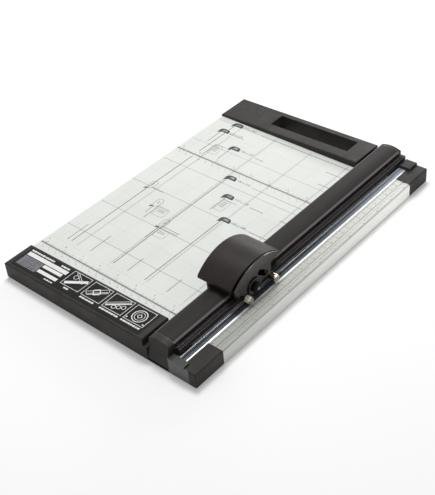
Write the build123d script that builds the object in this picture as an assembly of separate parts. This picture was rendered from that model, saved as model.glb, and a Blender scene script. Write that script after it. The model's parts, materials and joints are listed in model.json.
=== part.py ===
from build123d import *
import math
import os

os.makedirs("parts", exist_ok=True)

# Rotary card cutter, in millimetres. X runs from the left edge to the cutting side, Y from the user
# to the rear and Z up from the table. The model is built from its front left corner and moved to
# the middle of its footprint when it is written.

# Whole object
WIDTH = 260.5
DEPTH = 386.0
DECK_TOP = 17.0
FOOT_PROUD = 1.4

# Clearances
SEAM = 0.1              # between two fixed pieces that meet
RUN = 0.05              # radial, a shaft in its bore
FREE = 0.3              # between pieces that move past each other

# Deck and base plate
PLATE = 1.0
SHEET = 0.3
PANEL_INSET = 0.6       # deck's left side behind the caps' left side
PANEL_WALL = 1.4
PANEL_CELLS = 9

# Cut line, mat and the channel that holds it
CUT_TO_EDGE = 23.5      # cut line to the right edge
MAT_LEFT = 2.4          # mat's left side to the cut line
MAT_WIDTH = 6.4
MAT_THICK = 2.5
MAT_RECESS = 0.1        # mat below the lips
GROOVE_WIDTH = 1.2
GROOVE_DEPTH = 0.9
LIP_LEFT = 1.2
LIP_RIGHT = 2.0
CHANNEL_WALL = 1.5
SHADOW_GAP = 1.0        # open slit between deck and channel

# Side bed with the ruler
BED_WALL = 2.0
BED_ROUND = 2.5
BED_GROOVE_IN = 6.5     # ruler groove to the right edge
BED_GROOVE_WIDTH = 2.5
BED_GROOVE_DEPTH = 0.5

# End caps of the deck
CAP_LEFT_TOP = 19.8
CAP_RIGHT_TOP = 24.6
FRONT_CAP = 36.6
REAR_CAP = 43.0
CAP_LAP = 8.0           # caps over the deck panel
CAP_WALL = 2.2
CAP_ROUND = 1.6
CAP_RIBS = 6
RIB = 1.4
BOSS_R = 3.6
LABEL_MARGIN = 6.5      # label to the cap's left side
LABEL_MARGIN_RIGHT = 7.3
LABEL_MARGIN_Y = 3.3
LABEL_THICK = 0.2

# Carrying slot in the rear cap
SLOT_FROM_LEFT = 65.0
SLOT_FROM_RIGHT = 21.5
SLOT_FROM_REAR = 7.5
SLOT_WIDTH = 22.1

# Corner caps of the side bed
FRONT_CORNER = 38.3
REAR_CORNER = 35.6
CORNER_PROUD = 0.9
CORNER_ROUND = 1.5
CORNER_TONGUE = 8.0
CORNER_SCREW_IN = 10.5  # screw to the joint with the bed

# Clips on the mat's ends
CLIP_WALL = 1.2
CLIP_HEIGHT = 2.8       # above the deck
CLIP_LAP = 8.0
CLIP_OVER_BED = 4.0
CLIP_FRONT_WIDTH = 25.0
CLAMP_HEIGHT = 3.5
CLAMP_DEPTH = 15.5
CLAMP_OVER_BED = 4.5
CLAMP_SKIRT = 1.5
CLAMP_ROUND = 1.2

# Guide rail
RAIL_LIFT = 1.2         # rail above the deck when free
RAIL_WIDTH = 25.0
RAIL_SHOULDER = 9.8
RAIL_CROWN = 2.6
RAIL_EDGE_R = 1.7
RAIL_WALL = 2.0
FLANGE_REACH = 6.2
FLANGE_HEIGHT = 5.4
FLANGE_RIB = 1.2
FLANGE_RIB_IN = 2.4     # rib's outer side to the flange's face
TRACK_LAND = 1.2        # shoulder above the side track
TRACK_HEIGHT = 2.0
TRACK_DEPTH = 3.7
FRONT_BLOCK = 12.0
FRONT_LEAN = 4.0
REAR_BLOCK = 4.0
BLOCK_HANG = 2.4        # front block's underside above the base's underside
TONGUE = 18.0
GRIP_WIDTH = 4.0
GRIP_THICK = 1.2
CAP_TO_RAIL = 5.4

# Sprung posts that carry the rail
POST_R = 3.0
POST_HEAD_R = 4.5
POST_HEAD = 2.5
POST_THREAD_R = 2.5
POST_THREAD = 8.5
SEAT_UP = 5.7           # socket's seat above the base's underside
SEAT_WEB = 2.5
SOCKET_WALL = 2.4
RAIL_SPRING_R = 4.5
RAIL_WIRE_R = 0.5
RAIL_SPRING_TURNS = 5

# Carriage
CARRIAGE_Y = 122.6      # handle's middle when parked
BODY_HALF = 33.0
ARM = 3.2
ARM_GAP = 0.4
ARM_UP = 2.8            # left arm above the deck
RIGHT_ARM = 2.1
BRIDGE_GAP = 0.8
BRIDGE = 2.6
BULKHEAD = 2.5
PAD_LENGTH = 8.0
PAD_INSET = 7.0         # pad to the body's end
PAD_PLAY = 0.15
STOP_LENGTH = 2.0
STOP_IN = 8.6           # rear stop to the rail's rear end

# Cheek beside the blade
CHEEK_GAP = 0.4
CHEEK = 1.6
CHEEK_FRONT = 35.5
CHEEK_REAR = 18.4
CHEEK_TAIL = 33.0       # rear end of the arched top
CHEEK_NOSE = 4.0        # height of the front end
CHEEK_FALL = 3.1        # arched top below the handle's, at its front end
CHEEK_CHIN = 28.5       # lower front corner to the handle's middle
CHEEK_CHIN_UP = 8.8     # and above the roller axes
CHEEK_NECK = 16.5       # rear edge's corner above the roller axes
CHEEK_LOBE_R = 2.7
CHEEK_LOW = 4.4         # lower edge above the roller axes
CHEEK_SLOT_R = 3.2      # dark recess above the rear roller
CHEEK_SLOT_TOP = 16.0   # its upper end above the roller axes
CHEEK_SLOT_LEAN = 9.0   # and ahead of its lower end
LUG = 4.8
LUG_HEIGHT = 7.0
CHEEK_SCREW_R = 1.25

# Hold-down rollers
ROLLER_R = 4.2
ROLLER_LENGTH = 6.6
ROLLER_AHEAD = 21.1     # front roller to the handle's middle
ROLLER_BEHIND = 18.1
ROLLER_HOVER = 1.3
ROLLER_CHAMFER = 0.5
PIN_R = 1.5
PIN_HEAD_R = 2.6
PIN_HEAD = 0.8
PIN_COLLAR_R = 3.6
PIN_COLLAR = 1.0

# Press handle
SHELL_R = 52.4
SHELL_HALF = 37.3
SHELL_THICK = 2.4
SHELL_RISE = 24.8       # shell's top above the rail's top
SHELL_OVER_LEFT = 10.8
SHELL_OVER_RIGHT = 1.2
SHELL_SIDE = 1.8
SHELL_LIP = 4.0
SHELL_BROW = 1.2        # edge of the roof beyond the right side wall
SHELL_BROW_OUT = 2.2
SHELL_EDGE_R = 0.9
HINGE_BACK = 29.0
HINGE_DROP = 17.4
HINGE_R = 2.0
EAR_R = 3.6
EAR = 3.0
HINGE_BLOCK = 12.0
PUSH_PAD = 2.8          # thickness at its middle
PUSH_HALF = 2.9
PUSH_GAP = 0.5          # to the stem's head

# Blade unit
PLUNGE = 1.2
BLADE_AHEAD = 8.0       # blade's axis ahead of the handle's middle
BLADE_R = 9.4
BLADE_THICK = 0.4
BLADE_HOVER = 1.8
AXLE_R = 1.5
CARRIER = 3.2
CARRIER_WIDTH = 12.0
CARRIER_DOWN = 2.6
CARRIER_HEAD = 3.0
HEAD_OVER_BRIDGE = 2.0
STEM_FROM_RAIL = 0.4    # stem's axis right of the rail's right side
STEM_R = 2.0
STEM_HEAD_R = 4.0
STEM_HEAD = 1.5
ROOF = 2.0
TOWER_WALL = 2.5
BLADE_SPRING_R = 3.1
BLADE_WIRE_R = 0.35
BLADE_SPRING_TURNS = 5
HUB_R = 5.3
HUB_THICK = 3.2
HUB_BOSS_R = 3.0
RING_R = 5.0
RING_THICK = 0.35
BACKING = 0.4
BACKING_R = 7.0
KEY_WIDTH = 4.4
KEY_HEIGHT = 6.6
CLIP_R = 2.8
CLIP_THICK = 0.6
AXLE_TIP = 0.8

# Small hardware
SCREW_R = 1.5
SCREW_HEAD_R = 2.8
SCREW_HEAD = 0.9
SCREW_LENGTH = 8.0
HOLE_PLAY = 0.2
FOOT_R = 5.5
PEG_R = 2.0
PEG_LENGTH = 1.8
FOOT_INSET = 14.0

# Levels
PLATE_TOP = FOOT_PROUD + PLATE
PANEL_TOP = DECK_TOP - SHEET
RAIL_Z = DECK_TOP + RAIL_LIFT
SHOULDER_Z = RAIL_Z + RAIL_SHOULDER
RAIL_TOP = SHOULDER_Z + RAIL_CROWN
FLANGE_TOP = RAIL_Z + FLANGE_HEIGHT
TRACK_TOP = SHOULDER_Z - TRACK_LAND
TRACK_Z = TRACK_TOP - TRACK_HEIGHT
BLOCK_Z = FOOT_PROUD + BLOCK_HANG
SEAT_Z = FOOT_PROUD + SEAT_UP
CORNER_TOP = DECK_TOP + CORNER_PROUD
BRIDGE_Z = RAIL_TOP + BRIDGE_GAP
BRIDGE_TOP = BRIDGE_Z + BRIDGE
ROLLER_Z = DECK_TOP + ROLLER_HOVER + ROLLER_R
AXLE_Z = DECK_TOP + BLADE_HOVER + BLADE_R
SHELL_TOP = RAIL_TOP + SHELL_RISE
SHELL_Z = SHELL_TOP - SHELL_R
HINGE_Z = SHELL_TOP - HINGE_DROP
HEAD_Z = BRIDGE_TOP + HEAD_OVER_BRIDGE
HEAD_TOP = HEAD_Z + CARRIER_HEAD
ROOF_Z = HEAD_TOP + FREE
ROOF_TOP = ROOF_Z + ROOF
STEM_TOP = SHELL_TOP - SHELL_THICK - PUSH_PAD - PUSH_GAP
STEM_HEAD_Z = STEM_TOP - STEM_HEAD

# Places along X
CUT_X = WIDTH - CUT_TO_EDGE
MAT_X = CUT_X - MAT_LEFT
MAT_X1 = MAT_X + MAT_WIDTH
CHANNEL_X = MAT_X - LIP_LEFT
CHANNEL_X1 = MAT_X1 + LIP_RIGHT
BED_X = CHANNEL_X1 + SEAM
PANEL_X1 = CHANNEL_X - SHADOW_GAP
FLANGE_X = PANEL_X1
RAIL_X1 = FLANGE_X - FLANGE_REACH
RAIL_X = RAIL_X1 - RAIL_WIDTH
POST_X = (RAIL_X + RAIL_X1) / 2
CAP_X1 = RAIL_X - CAP_TO_RAIL
SOCKET_X = CAP_X1 + SEAM
SOCKET_X1 = CHANNEL_X - SEAM
CLIP_X = RAIL_X1 + SHADOW_GAP
LEFT_ARM_X1 = RAIL_X - ARM_GAP
LEFT_ARM_X = LEFT_ARM_X1 - ARM
RIGHT_ARM_X = RAIL_X1 + ARM_GAP
RIGHT_ARM_X1 = RIGHT_ARM_X + RIGHT_ARM
SHELL_X = RAIL_X - SHELL_OVER_LEFT
SHELL_X1 = FLANGE_X + SHELL_OVER_RIGHT
CHEEK_X = SHELL_X1 + CHEEK_GAP
CHEEK_X1 = CHEEK_X + CHEEK
ROLLER_X = CHEEK_X1 + FREE
ROLLER_X1 = ROLLER_X + ROLLER_LENGTH
CARRIER_X1 = CHEEK_X - CHEEK_GAP
CARRIER_X = CARRIER_X1 - CARRIER
STEM_X = RAIL_X1 + STEM_FROM_RAIL
BLADE_X = CUT_X - BLADE_THICK / 2
BLADE_X1 = CUT_X + BLADE_THICK / 2
RING_X = BLADE_X - RING_THICK
HUB_X1 = BLADE_X1 + HUB_THICK
BACKING_X = CHEEK_X1 + FREE
AXLE_CLIP_X = HUB_X1 + SEAM
AXLE_X1 = AXLE_CLIP_X + CLIP_THICK + AXLE_TIP

# Places along Y
PANEL_Y = FRONT_CAP - CAP_LAP
PANEL_Y1 = DEPTH - REAR_CAP + CAP_LAP
BED_Y = FRONT_CORNER + SEAM
BED_Y1 = DEPTH - REAR_CORNER - SEAM
CHANNEL_Y = CLIP_WALL + SEAM
CHANNEL_Y1 = DEPTH - CLAMP_SKIRT - SEAM
SLOT_Y1 = DEPTH - SLOT_FROM_REAR
SLOT_Y = SLOT_Y1 - SLOT_WIDTH
SLOT_X1 = CAP_X1 - SLOT_FROM_RIGHT
RAIL_Y1 = DEPTH - REAR_BLOCK
FRONT_POST_Y = FRONT_BLOCK + TONGUE / 2
REAR_POST_Y = RAIL_Y1 - TONGUE / 2
BLADE_Y = CARRIAGE_Y - BLADE_AHEAD
BODY_Y = CARRIAGE_Y - BODY_HALF
BODY_Y1 = CARRIAGE_Y + BODY_HALF
BULKHEAD_YS = (BODY_Y, CARRIAGE_Y + CHEEK_REAR - BULKHEAD)
PAD_YS = (BODY_Y + PAD_INSET, BODY_Y1 - PAD_INSET - PAD_LENGTH)
HINGE_Y = CARRIAGE_Y + HINGE_BACK
ROLLER_YS = (CARRIAGE_Y - ROLLER_AHEAD, CARRIAGE_Y + ROLLER_BEHIND)
CLAMP_Y = DEPTH - CLAMP_DEPTH

BED_MID_X = (BED_X + WIDTH) / 2
CHANNEL_MID_X = (MAT_X + MAT_X1) / 2
CELL_WIDTH = (PANEL_X1 - PANEL_INSET - PANEL_WALL * (PANEL_CELLS + 1)) / PANEL_CELLS
CELL_XS = [PANEL_INSET + PANEL_WALL + i * (CELL_WIDTH + PANEL_WALL) for i in range(PANEL_CELLS)]

# Screws through the base plate, by the piece that they hold
FRONT_CAP_SCREWS = [(CAP_X1 * share, PANEL_Y / 2) for share in (0.2, 0.5, 0.8)]
REAR_CAP_SCREWS = [
    (x, DEPTH - (DEPTH - PANEL_Y1) / 2)
    for x in (SLOT_FROM_LEFT / 2, (SLOT_X1 + CAP_X1) / 2)
]
CORNER_SCREWS = {
    "front": (BED_MID_X, FRONT_CORNER - CORNER_SCREW_IN),
    "rear": (BED_MID_X, DEPTH - REAR_CORNER + CORNER_SCREW_IN),
}
SOCKET_SCREW_X = (POST_X + RAIL_SPRING_R + SOCKET_X1) / 2
SOCKET_SCREWS = {"front": (SOCKET_SCREW_X, FRONT_POST_Y), "rear": (SOCKET_SCREW_X, REAR_POST_Y)}
LONG_SHARES = (0.16, 0.38, 0.62, 0.84)
PANEL_SCREWS = [
    (CELL_XS[cell] + CELL_WIDTH / 2, DEPTH * share)
    for cell in (1, PANEL_CELLS - 2)
    for share in LONG_SHARES
]
CHANNEL_SCREWS = [(CHANNEL_MID_X, DEPTH * share) for share in LONG_SHARES]
BED_SCREWS = [(BED_MID_X, DEPTH * share) for share in LONG_SHARES]
BASE_SCREWS = [
    *FRONT_CAP_SCREWS,
    *REAR_CAP_SCREWS,
    *CORNER_SCREWS.values(),
    *SOCKET_SCREWS.values(),
    *PANEL_SCREWS,
    *CHANNEL_SCREWS,
    *BED_SCREWS,
]
CLAMP_SCREW = (CHANNEL_MID_X, CLAMP_Y + (CHANNEL_Y1 - CLAMP_Y) / 2)
FEET = [(x, y) for x in (FOOT_INSET, BED_MID_X) for y in (FOOT_INSET, DEPTH / 2, DEPTH - FOOT_INSET)]
POSTS = {"front": (POST_X, FRONT_POST_Y), "rear": (POST_X, REAR_POST_Y)}


def block(x0, x1, y0, y1, z0, z1):
    return Pos((x0 + x1) / 2, (y0 + y1) / 2, (z0 + z1) / 2) * Box(x1 - x0, y1 - y0, z1 - z0)


def rod_x(y, z, radius, x0, x1):
    return Pos((x0 + x1) / 2, y, z) * Rot(0, 90, 0) * Cylinder(radius, x1 - x0)


def rod_y(x, z, radius, y0, y1):
    return Pos(x, (y0 + y1) / 2, z) * Rot(90, 0, 0) * Cylinder(radius, y1 - y0)


def rod_z(x, y, radius, z0, z1):
    return Pos(x, y, (z0 + z1) / 2) * Cylinder(radius, z1 - z0)


def prism_x(points, x0, x1):
    """Extrudes a (y, z) outline along X."""
    outline = Polyline(*[(x0, y, z) for y, z in points], close=True)
    return extrude(make_face(outline), x1 - x0, dir=(1, 0, 0))


def prism_y(points, y0, y1):
    """Extrudes an (x, z) outline along Y."""
    outline = Polyline(*[(x, y0, z) for x, z in points], close=True)
    return extrude(make_face(outline), y1 - y0, dir=(0, 1, 0))


def coil(x, y, z0, z1, radius, wire, turns):
    """A round-wire compression spring that stands between two levels."""
    height = z1 - z0 - 2 * wire
    path = Helix(height / turns, height, radius)
    section = Plane(origin=path @ 0, z_dir=path % 0) * Circle(wire)
    return Pos(x, y, z0 + wire) * sweep(section, path, is_frenet=True)


def screw(x, y, length=SCREW_LENGTH):
    head = rod_z(x, y, SCREW_HEAD_R, FOOT_PROUD - SCREW_HEAD, FOOT_PROUD)
    return head + rod_z(x, y, SCREW_R, FOOT_PROUD, FOOT_PROUD + length)


def screw_bores(places, play=RUN, length=SCREW_LENGTH):
    return [rod_z(x, y, SCREW_R + play, 0, FOOT_PROUD + length + SEAM) for x, y in places]


def plate_room():
    """Where the base plate lies, inside the mouldings' outer walls."""
    edge = CAP_WALL + SEAM
    return block(edge, WIDTH - edge, edge, DEPTH - edge, 0, PLATE_TOP)


def peg_bores():
    return [rod_z(x, y, PEG_R + RUN, 0, PLATE_TOP + PEG_LENGTH) for x, y in FEET]


# Base

def bottom_plate():
    inset = CAP_WALL + HOLE_PLAY
    plate = block(inset, WIDTH - inset, inset, DEPTH - inset, FOOT_PROUD, PLATE_TOP)
    around = CAP_WALL + SEAM
    plate -= block(
        SLOT_FROM_LEFT - around, SLOT_X1 + around, SLOT_Y - around, SLOT_Y1 + around, 0, DECK_TOP
    )
    plate -= screw_bores([*BASE_SCREWS, CLAMP_SCREW], HOLE_PLAY)
    plate -= peg_bores()
    plate -= [rod_z(x, y, POST_HEAD_R + FREE, 0, DECK_TOP) for x, y in POSTS.values()]
    return plate


def deck_panel():
    panel = block(PANEL_INSET, PANEL_X1, PANEL_Y, PANEL_Y1, PLATE_TOP, PANEL_TOP)
    panel += block(PANEL_INSET, PANEL_INSET + PANEL_WALL, PANEL_Y, PANEL_Y1, FOOT_PROUD, PLATE_TOP)
    floor, roof = PLATE_TOP + PANEL_WALL, PANEL_TOP - PANEL_WALL
    panel -= [block(x, x + CELL_WIDTH, PANEL_Y, PANEL_Y1, floor, roof) for x in CELL_XS]
    panel -= screw_bores(PANEL_SCREWS)
    panel -= peg_bores()
    return panel


def deck_sheet():
    return block(PANEL_INSET + HOLE_PLAY, PANEL_X1, PANEL_Y, PANEL_Y1, PANEL_TOP, DECK_TOP)


def mat_channel():
    channel = block(CHANNEL_X, CHANNEL_X1, CHANNEL_Y, CHANNEL_Y1, PLATE_TOP, DECK_TOP)
    seat = DECK_TOP - MAT_RECESS - MAT_THICK
    channel -= block(MAT_X, MAT_X1, CHANNEL_Y, CHANNEL_Y1, seat, DECK_TOP)
    channel -= block(
        CHANNEL_X + CHANNEL_WALL,
        CHANNEL_X1 - CHANNEL_WALL,
        CHANNEL_Y,
        CHANNEL_Y1,
        PLATE_TOP + CHANNEL_WALL,
        seat - CHANNEL_WALL,
    )
    channel -= screw_bores(CHANNEL_SCREWS)
    channel -= screw_bores([CLAMP_SCREW], length=DECK_TOP)
    return channel


def cutting_mat():
    top = DECK_TOP - MAT_RECESS
    mat = block(MAT_X + RUN, MAT_X1 - RUN, CHANNEL_Y, CHANNEL_Y1, top - MAT_THICK, top)
    half = GROOVE_WIDTH / 2
    mat -= block(CUT_X - half, CUT_X + half, CHANNEL_Y, CHANNEL_Y1, top - GROOVE_DEPTH, top)
    mat -= screw_bores([CLAMP_SCREW], length=DECK_TOP)
    return mat


def side_bed():
    bed = block(BED_X, WIDTH, BED_Y, BED_Y1, PLATE_TOP, DECK_TOP)
    top = bed.faces().sort_by(Axis.Z)[-1]
    bed = fillet(top.edges().filter_by(Axis.Y).sort_by(Axis.X)[-1], BED_ROUND)
    bed += block(WIDTH - BED_WALL, WIDTH, BED_Y, BED_Y1, FOOT_PROUD, PLATE_TOP)
    bed -= block(
        BED_X + BED_WALL, WIDTH - BED_WALL, BED_Y, BED_Y1, PLATE_TOP + BED_WALL, DECK_TOP - BED_WALL
    )
    groove_x1 = WIDTH - BED_GROOVE_IN
    bed -= block(
        groove_x1 - BED_GROOVE_WIDTH, groove_x1, BED_Y, BED_Y1, DECK_TOP - BED_GROOVE_DEPTH, DECK_TOP
    )
    bed -= screw_bores(BED_SCREWS)
    bed -= peg_bores()
    return bed


def cap_top(x):
    """Height of the end caps' sloping tops at x."""
    return CAP_LEFT_TOP + (CAP_RIGHT_TOP - CAP_LEFT_TOP) * x / CAP_X1


def cap_prism(x0, x1, y0, y1, floor, skin=0.0):
    """A block between a level and the caps' sloping top, or a skin below it."""
    outline = [(x0, floor), (x1, floor), (x1, cap_top(x1) - skin), (x0, cap_top(x0) - skin)]
    return prism_y(outline, y0, y1)


def cap_shell(y0, y1, deck_y, outward):
    """Rounded end cap, hollow from below, with a lip over the deck from deck_y on its inner side."""
    shell = cap_prism(0, CAP_X1, y0, y1, FOOT_PROUD)
    shell = fillet(shell.faces().sort_by(Axis.Z)[-1].edges(), CAP_ROUND)
    left, right = CAP_WALL, CAP_X1 - CAP_WALL
    near, far = sorted((y0 if outward > 0 else y1, deck_y))
    shell -= cap_prism(left, right, near + CAP_WALL, far - CAP_WALL, FOOT_PROUD, CAP_WALL)
    shell -= cap_prism(left, right, y0 + CAP_WALL, y1 - CAP_WALL, DECK_TOP + SEAM, CAP_WALL)
    lap_near, lap_far = sorted((deck_y, y1 if outward > 0 else y0))
    shell -= block(0, CAP_X1, lap_near - SEAM, lap_far + SEAM, 0, DECK_TOP + SEAM)
    shell -= plate_room()
    pitch = (right - left) / (CAP_RIBS + 1)
    for i in range(CAP_RIBS):
        x = left + pitch * (i + 1)
        shell += cap_prism(x - RIB / 2, x + RIB / 2, near + RIB, far - RIB, PLATE_TOP, CAP_WALL / 2)
    return shell


def cap_bosses(shell, places):
    """Adds a screw boss under the cap's top at each place and drills it."""
    for x, y in places:
        boss = rod_z(x, y, BOSS_R, PLATE_TOP, CAP_RIGHT_TOP)
        shell += boss & cap_prism(0, CAP_X1, 0, DEPTH, PLATE_TOP, CAP_WALL / 2)
    shell -= screw_bores(places)
    return shell


def front_cap():
    shell = cap_bosses(cap_shell(0, FRONT_CAP, PANEL_Y, 1), FRONT_CAP_SCREWS)
    return shell - peg_bores()


def rear_cap():
    shell = cap_shell(DEPTH - REAR_CAP, DEPTH, PANEL_Y1, -1)
    wall = CAP_WALL
    lining = cap_prism(
        SLOT_FROM_LEFT - wall, SLOT_X1 + wall, SLOT_Y - wall, SLOT_Y1 + wall, FOOT_PROUD, wall / 2
    )
    shell += lining
    shell -= block(SLOT_FROM_LEFT, SLOT_X1, SLOT_Y, SLOT_Y1, 0, CAP_RIGHT_TOP + wall)
    shell = cap_bosses(shell, REAR_CAP_SCREWS)
    return shell - peg_bores()


def corner_cap(y0, y1, bed_side, end):
    """Hollow cap on one end of the side bed, with a tongue in the bed's cell."""
    cap = block(BED_X, WIDTH, y0, y1, FOOT_PROUD, CORNER_TOP)
    free_end = 0 if bed_side > 0 else -1
    top = cap.faces().sort_by(Axis.Z)[-1]
    outer = top.edges().filter_by(Axis.Y).sort_by(Axis.X)[-1:]
    outer += top.edges().filter_by(Axis.X).group_by(Axis.Y)[free_end]
    outer += cap.edges().filter_by(Axis.Z).group_by(Axis.Y)[free_end].sort_by(Axis.X)[-1:]
    cap = fillet(outer, CORNER_ROUND)
    wall = BED_WALL
    cap -= block(BED_X + wall, WIDTH - wall, y0 + wall, y1 - wall, FOOT_PROUD, CORNER_TOP - wall)
    joint_y = y1 if bed_side > 0 else y0
    tongue_y0, tongue_y1 = sorted((joint_y - bed_side * wall, joint_y + bed_side * CORNER_TONGUE))
    inner = BED_WALL + HOLE_PLAY
    cap += block(
        BED_X + inner, WIDTH - inner, tongue_y0, tongue_y1, PLATE_TOP + inner, DECK_TOP - inner
    )
    x, y = CORNER_SCREWS[end]
    cap += rod_z(x, y, BOSS_R, PLATE_TOP, CORNER_TOP - wall / 2)
    cap -= screw_bores([(x, y)])
    return cap - peg_bores() - plate_room()


def front_corner_cap():
    cap = corner_cap(0, FRONT_CORNER, 1, "front")
    return cap - block(0, CLIP_X + CLIP_FRONT_WIDTH + SEAM, 0, CLIP_WALL + SEAM, 0, CORNER_TOP)


def rear_corner_cap():
    cap = corner_cap(DEPTH - REAR_CORNER, DEPTH, -1, "rear")
    return cap - block(
        0, CHANNEL_X1 + CLAMP_OVER_BED + SEAM, DEPTH - CLAMP_SKIRT - SEAM, DEPTH, 0, CORNER_TOP
    )


def mat_front_clip():
    """Clear cap that holds the mat's front end: a front plate and a hollow top."""
    top = DECK_TOP + CLIP_HEIGHT
    right = CHANNEL_X1 + CLIP_OVER_BED
    clip = block(CLIP_X, right, 0, CLIP_WALL, FOOT_PROUD, top)
    clip += block(right, CLIP_X + CLIP_FRONT_WIDTH, 0, CLIP_WALL, FOOT_PROUD, CORNER_TOP)
    clip += block(CLIP_X, right, 0, CLIP_LAP, DECK_TOP + SEAM, top)
    clip -= block(BED_X - SEAM, right, CLIP_WALL, CLIP_LAP, DECK_TOP, CORNER_TOP + SEAM)
    clip -= block(
        CLIP_X + CLIP_WALL,
        BED_X - CLIP_WALL,
        CLIP_WALL,
        CLIP_LAP - CLIP_WALL,
        DECK_TOP,
        top - CLIP_WALL,
    )
    return clip


def mat_rear_clamp():
    top = DECK_TOP + CLAMP_HEIGHT
    right = CHANNEL_X1 + CLAMP_OVER_BED
    clamp = block(CHANNEL_X, right, CLAMP_Y, DEPTH, FOOT_PROUD, top)
    clamp = fillet(clamp.faces().sort_by(Axis.Z)[-1].edges(), CLAMP_ROUND)
    clamp -= block(CHANNEL_X, CHANNEL_X1 + SEAM, CLAMP_Y, CHANNEL_Y1 + SEAM, FOOT_PROUD, DECK_TOP + SEAM)
    clamp -= block(CHANNEL_X1, right, CLAMP_Y, CHANNEL_Y1 + SEAM, FOOT_PROUD, CORNER_TOP + SEAM)
    return clamp - screw_bores([CLAMP_SCREW], length=top - FOOT_PROUD - CLAMP_ROUND)


def mat_clamp_screw():
    return screw(*CLAMP_SCREW, length=DECK_TOP + CLAMP_HEIGHT - FOOT_PROUD - CLAMP_ROUND)


def rail_socket(end, y0, y1, hollow_y0, hollow_y1):
    """Moulding that guides one post of the rail and seats its spring."""
    socket = block(SOCKET_X, SOCKET_X1, y0, y1, FOOT_PROUD, DECK_TOP)
    wall = SOCKET_WALL
    x, y = POSTS[end]
    hollow = block(SOCKET_X + wall, SOCKET_X1 - wall, hollow_y0, hollow_y1, FOOT_PROUD, DECK_TOP - wall)
    hollow -= rod_z(x, y, RAIL_SPRING_R + RAIL_WIRE_R + FREE + wall, 0, DECK_TOP)
    hollow -= rod_z(*SOCKET_SCREWS[end], BOSS_R, 0, DECK_TOP)
    socket -= hollow
    socket -= plate_room()
    socket -= rod_z(x, y, POST_HEAD_R + FREE, 0, SEAT_Z)
    socket -= rod_z(x, y, POST_R + RUN, 0, DECK_TOP)
    socket -= rod_z(x, y, RAIL_SPRING_R + RAIL_WIRE_R + FREE, SEAT_Z + SEAT_WEB, DECK_TOP)
    return socket - screw_bores([SOCKET_SCREWS[end]])


def front_rail_socket():
    wall = SOCKET_WALL
    pocket_y1 = FRONT_BLOCK + FREE
    socket = rail_socket("front", 0, PANEL_Y - SEAM, pocket_y1 + wall, PANEL_Y - SEAM - wall)
    socket -= block(RAIL_X - FREE, RAIL_X1 + FREE, 0, pocket_y1, PLATE_TOP + SEAM, DECK_TOP)
    return socket - block(CLIP_X - SEAM, SOCKET_X1, 0, CLIP_WALL + SEAM, 0, DECK_TOP)


def rear_rail_socket():
    wall = SOCKET_WALL
    return rail_socket("rear", PANEL_Y1 + SEAM, DEPTH, PANEL_Y1 + SEAM + wall, DEPTH - wall)


def rail_spring(end):
    x, y = POSTS[end]
    return coil(x, y, SEAT_Z + SEAT_WEB, RAIL_Z, RAIL_SPRING_R, RAIL_WIRE_R, RAIL_SPRING_TURNS)


def rubber_feet():
    feet = []
    for x, y in FEET:
        pad = rod_z(x, y, FOOT_R, 0, FOOT_PROUD)
        pad = fillet(pad.edges().sort_by(Axis.Z)[0], FOOT_PROUD / 3)
        feet.append(pad + rod_z(x, y, PEG_R, FOOT_PROUD, PLATE_TOP + PEG_LENGTH - SEAM))
    return Compound(feet)


def base_screws():
    return Compound([screw(x, y) for x, y in BASE_SCREWS])


def label_plate():
    slope = math.degrees(math.atan2(CAP_RIGHT_TOP - CAP_LEFT_TOP, CAP_X1))
    length = (CAP_X1 - LABEL_MARGIN - LABEL_MARGIN_RIGHT) / math.cos(math.radians(slope))
    width = FRONT_CAP - 2 * LABEL_MARGIN_Y
    plate = Box(length, width, LABEL_THICK, align=(Align.MIN, Align.CENTER, Align.MIN))
    start = Pos(LABEL_MARGIN, FRONT_CAP / 2, cap_top(LABEL_MARGIN))
    return start * Rot(0, -slope, 0) * plate


# Rail

def rail_outline(y, bottom, with_tracks):
    """Closed outline of the rail's section at y, from the given underside of its main body."""
    track_in = TRACK_DEPTH if with_tracks else 0
    left, right = RAIL_X, RAIL_X1
    sides = [(left, SHOULDER_Z)]
    if with_tracks:
        sides += [(left, TRACK_TOP), (left + track_in, TRACK_TOP)]
        sides += [(left + track_in, TRACK_Z), (left, TRACK_Z)]
    sides += [(left, bottom)]
    if with_tracks:
        rib_x1 = FLANGE_X - FLANGE_RIB_IN
        sides += [
            (FLANGE_X, bottom),
            (FLANGE_X, FLANGE_TOP),
            (rib_x1, FLANGE_TOP),
            (rib_x1, FLANGE_TOP + FLANGE_RIB),
            (rib_x1 - FLANGE_RIB, FLANGE_TOP + FLANGE_RIB),
            (rib_x1 - FLANGE_RIB, FLANGE_TOP),
            (right, FLANGE_TOP),
            (right, TRACK_Z),
            (right - track_in, TRACK_Z),
            (right - track_in, TRACK_TOP),
            (right, TRACK_TOP),
        ]
    else:
        sides += [(right, bottom)]
    sides += [(right, SHOULDER_Z)]
    crown = ThreePointArc((left, y, SHOULDER_Z), (POST_X, y, RAIL_TOP), (right, y, SHOULDER_Z))
    return make_face([Polyline(*[(x, y, z) for x, z in sides]), crown])


def rounded_shoulders(solid):
    edges = solid.edges().filter_by(Axis.Y).filter_by_position(
        Axis.Z, SHOULDER_Z - SEAM, SHOULDER_Z + SEAM
    )
    return fillet(edges, RAIL_EDGE_R)


def hollow_x():
    """Left and right sides of the rail's main cell."""
    inset = TRACK_DEPTH + RAIL_WALL
    return RAIL_X + inset, RAIL_X1 - inset


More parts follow.
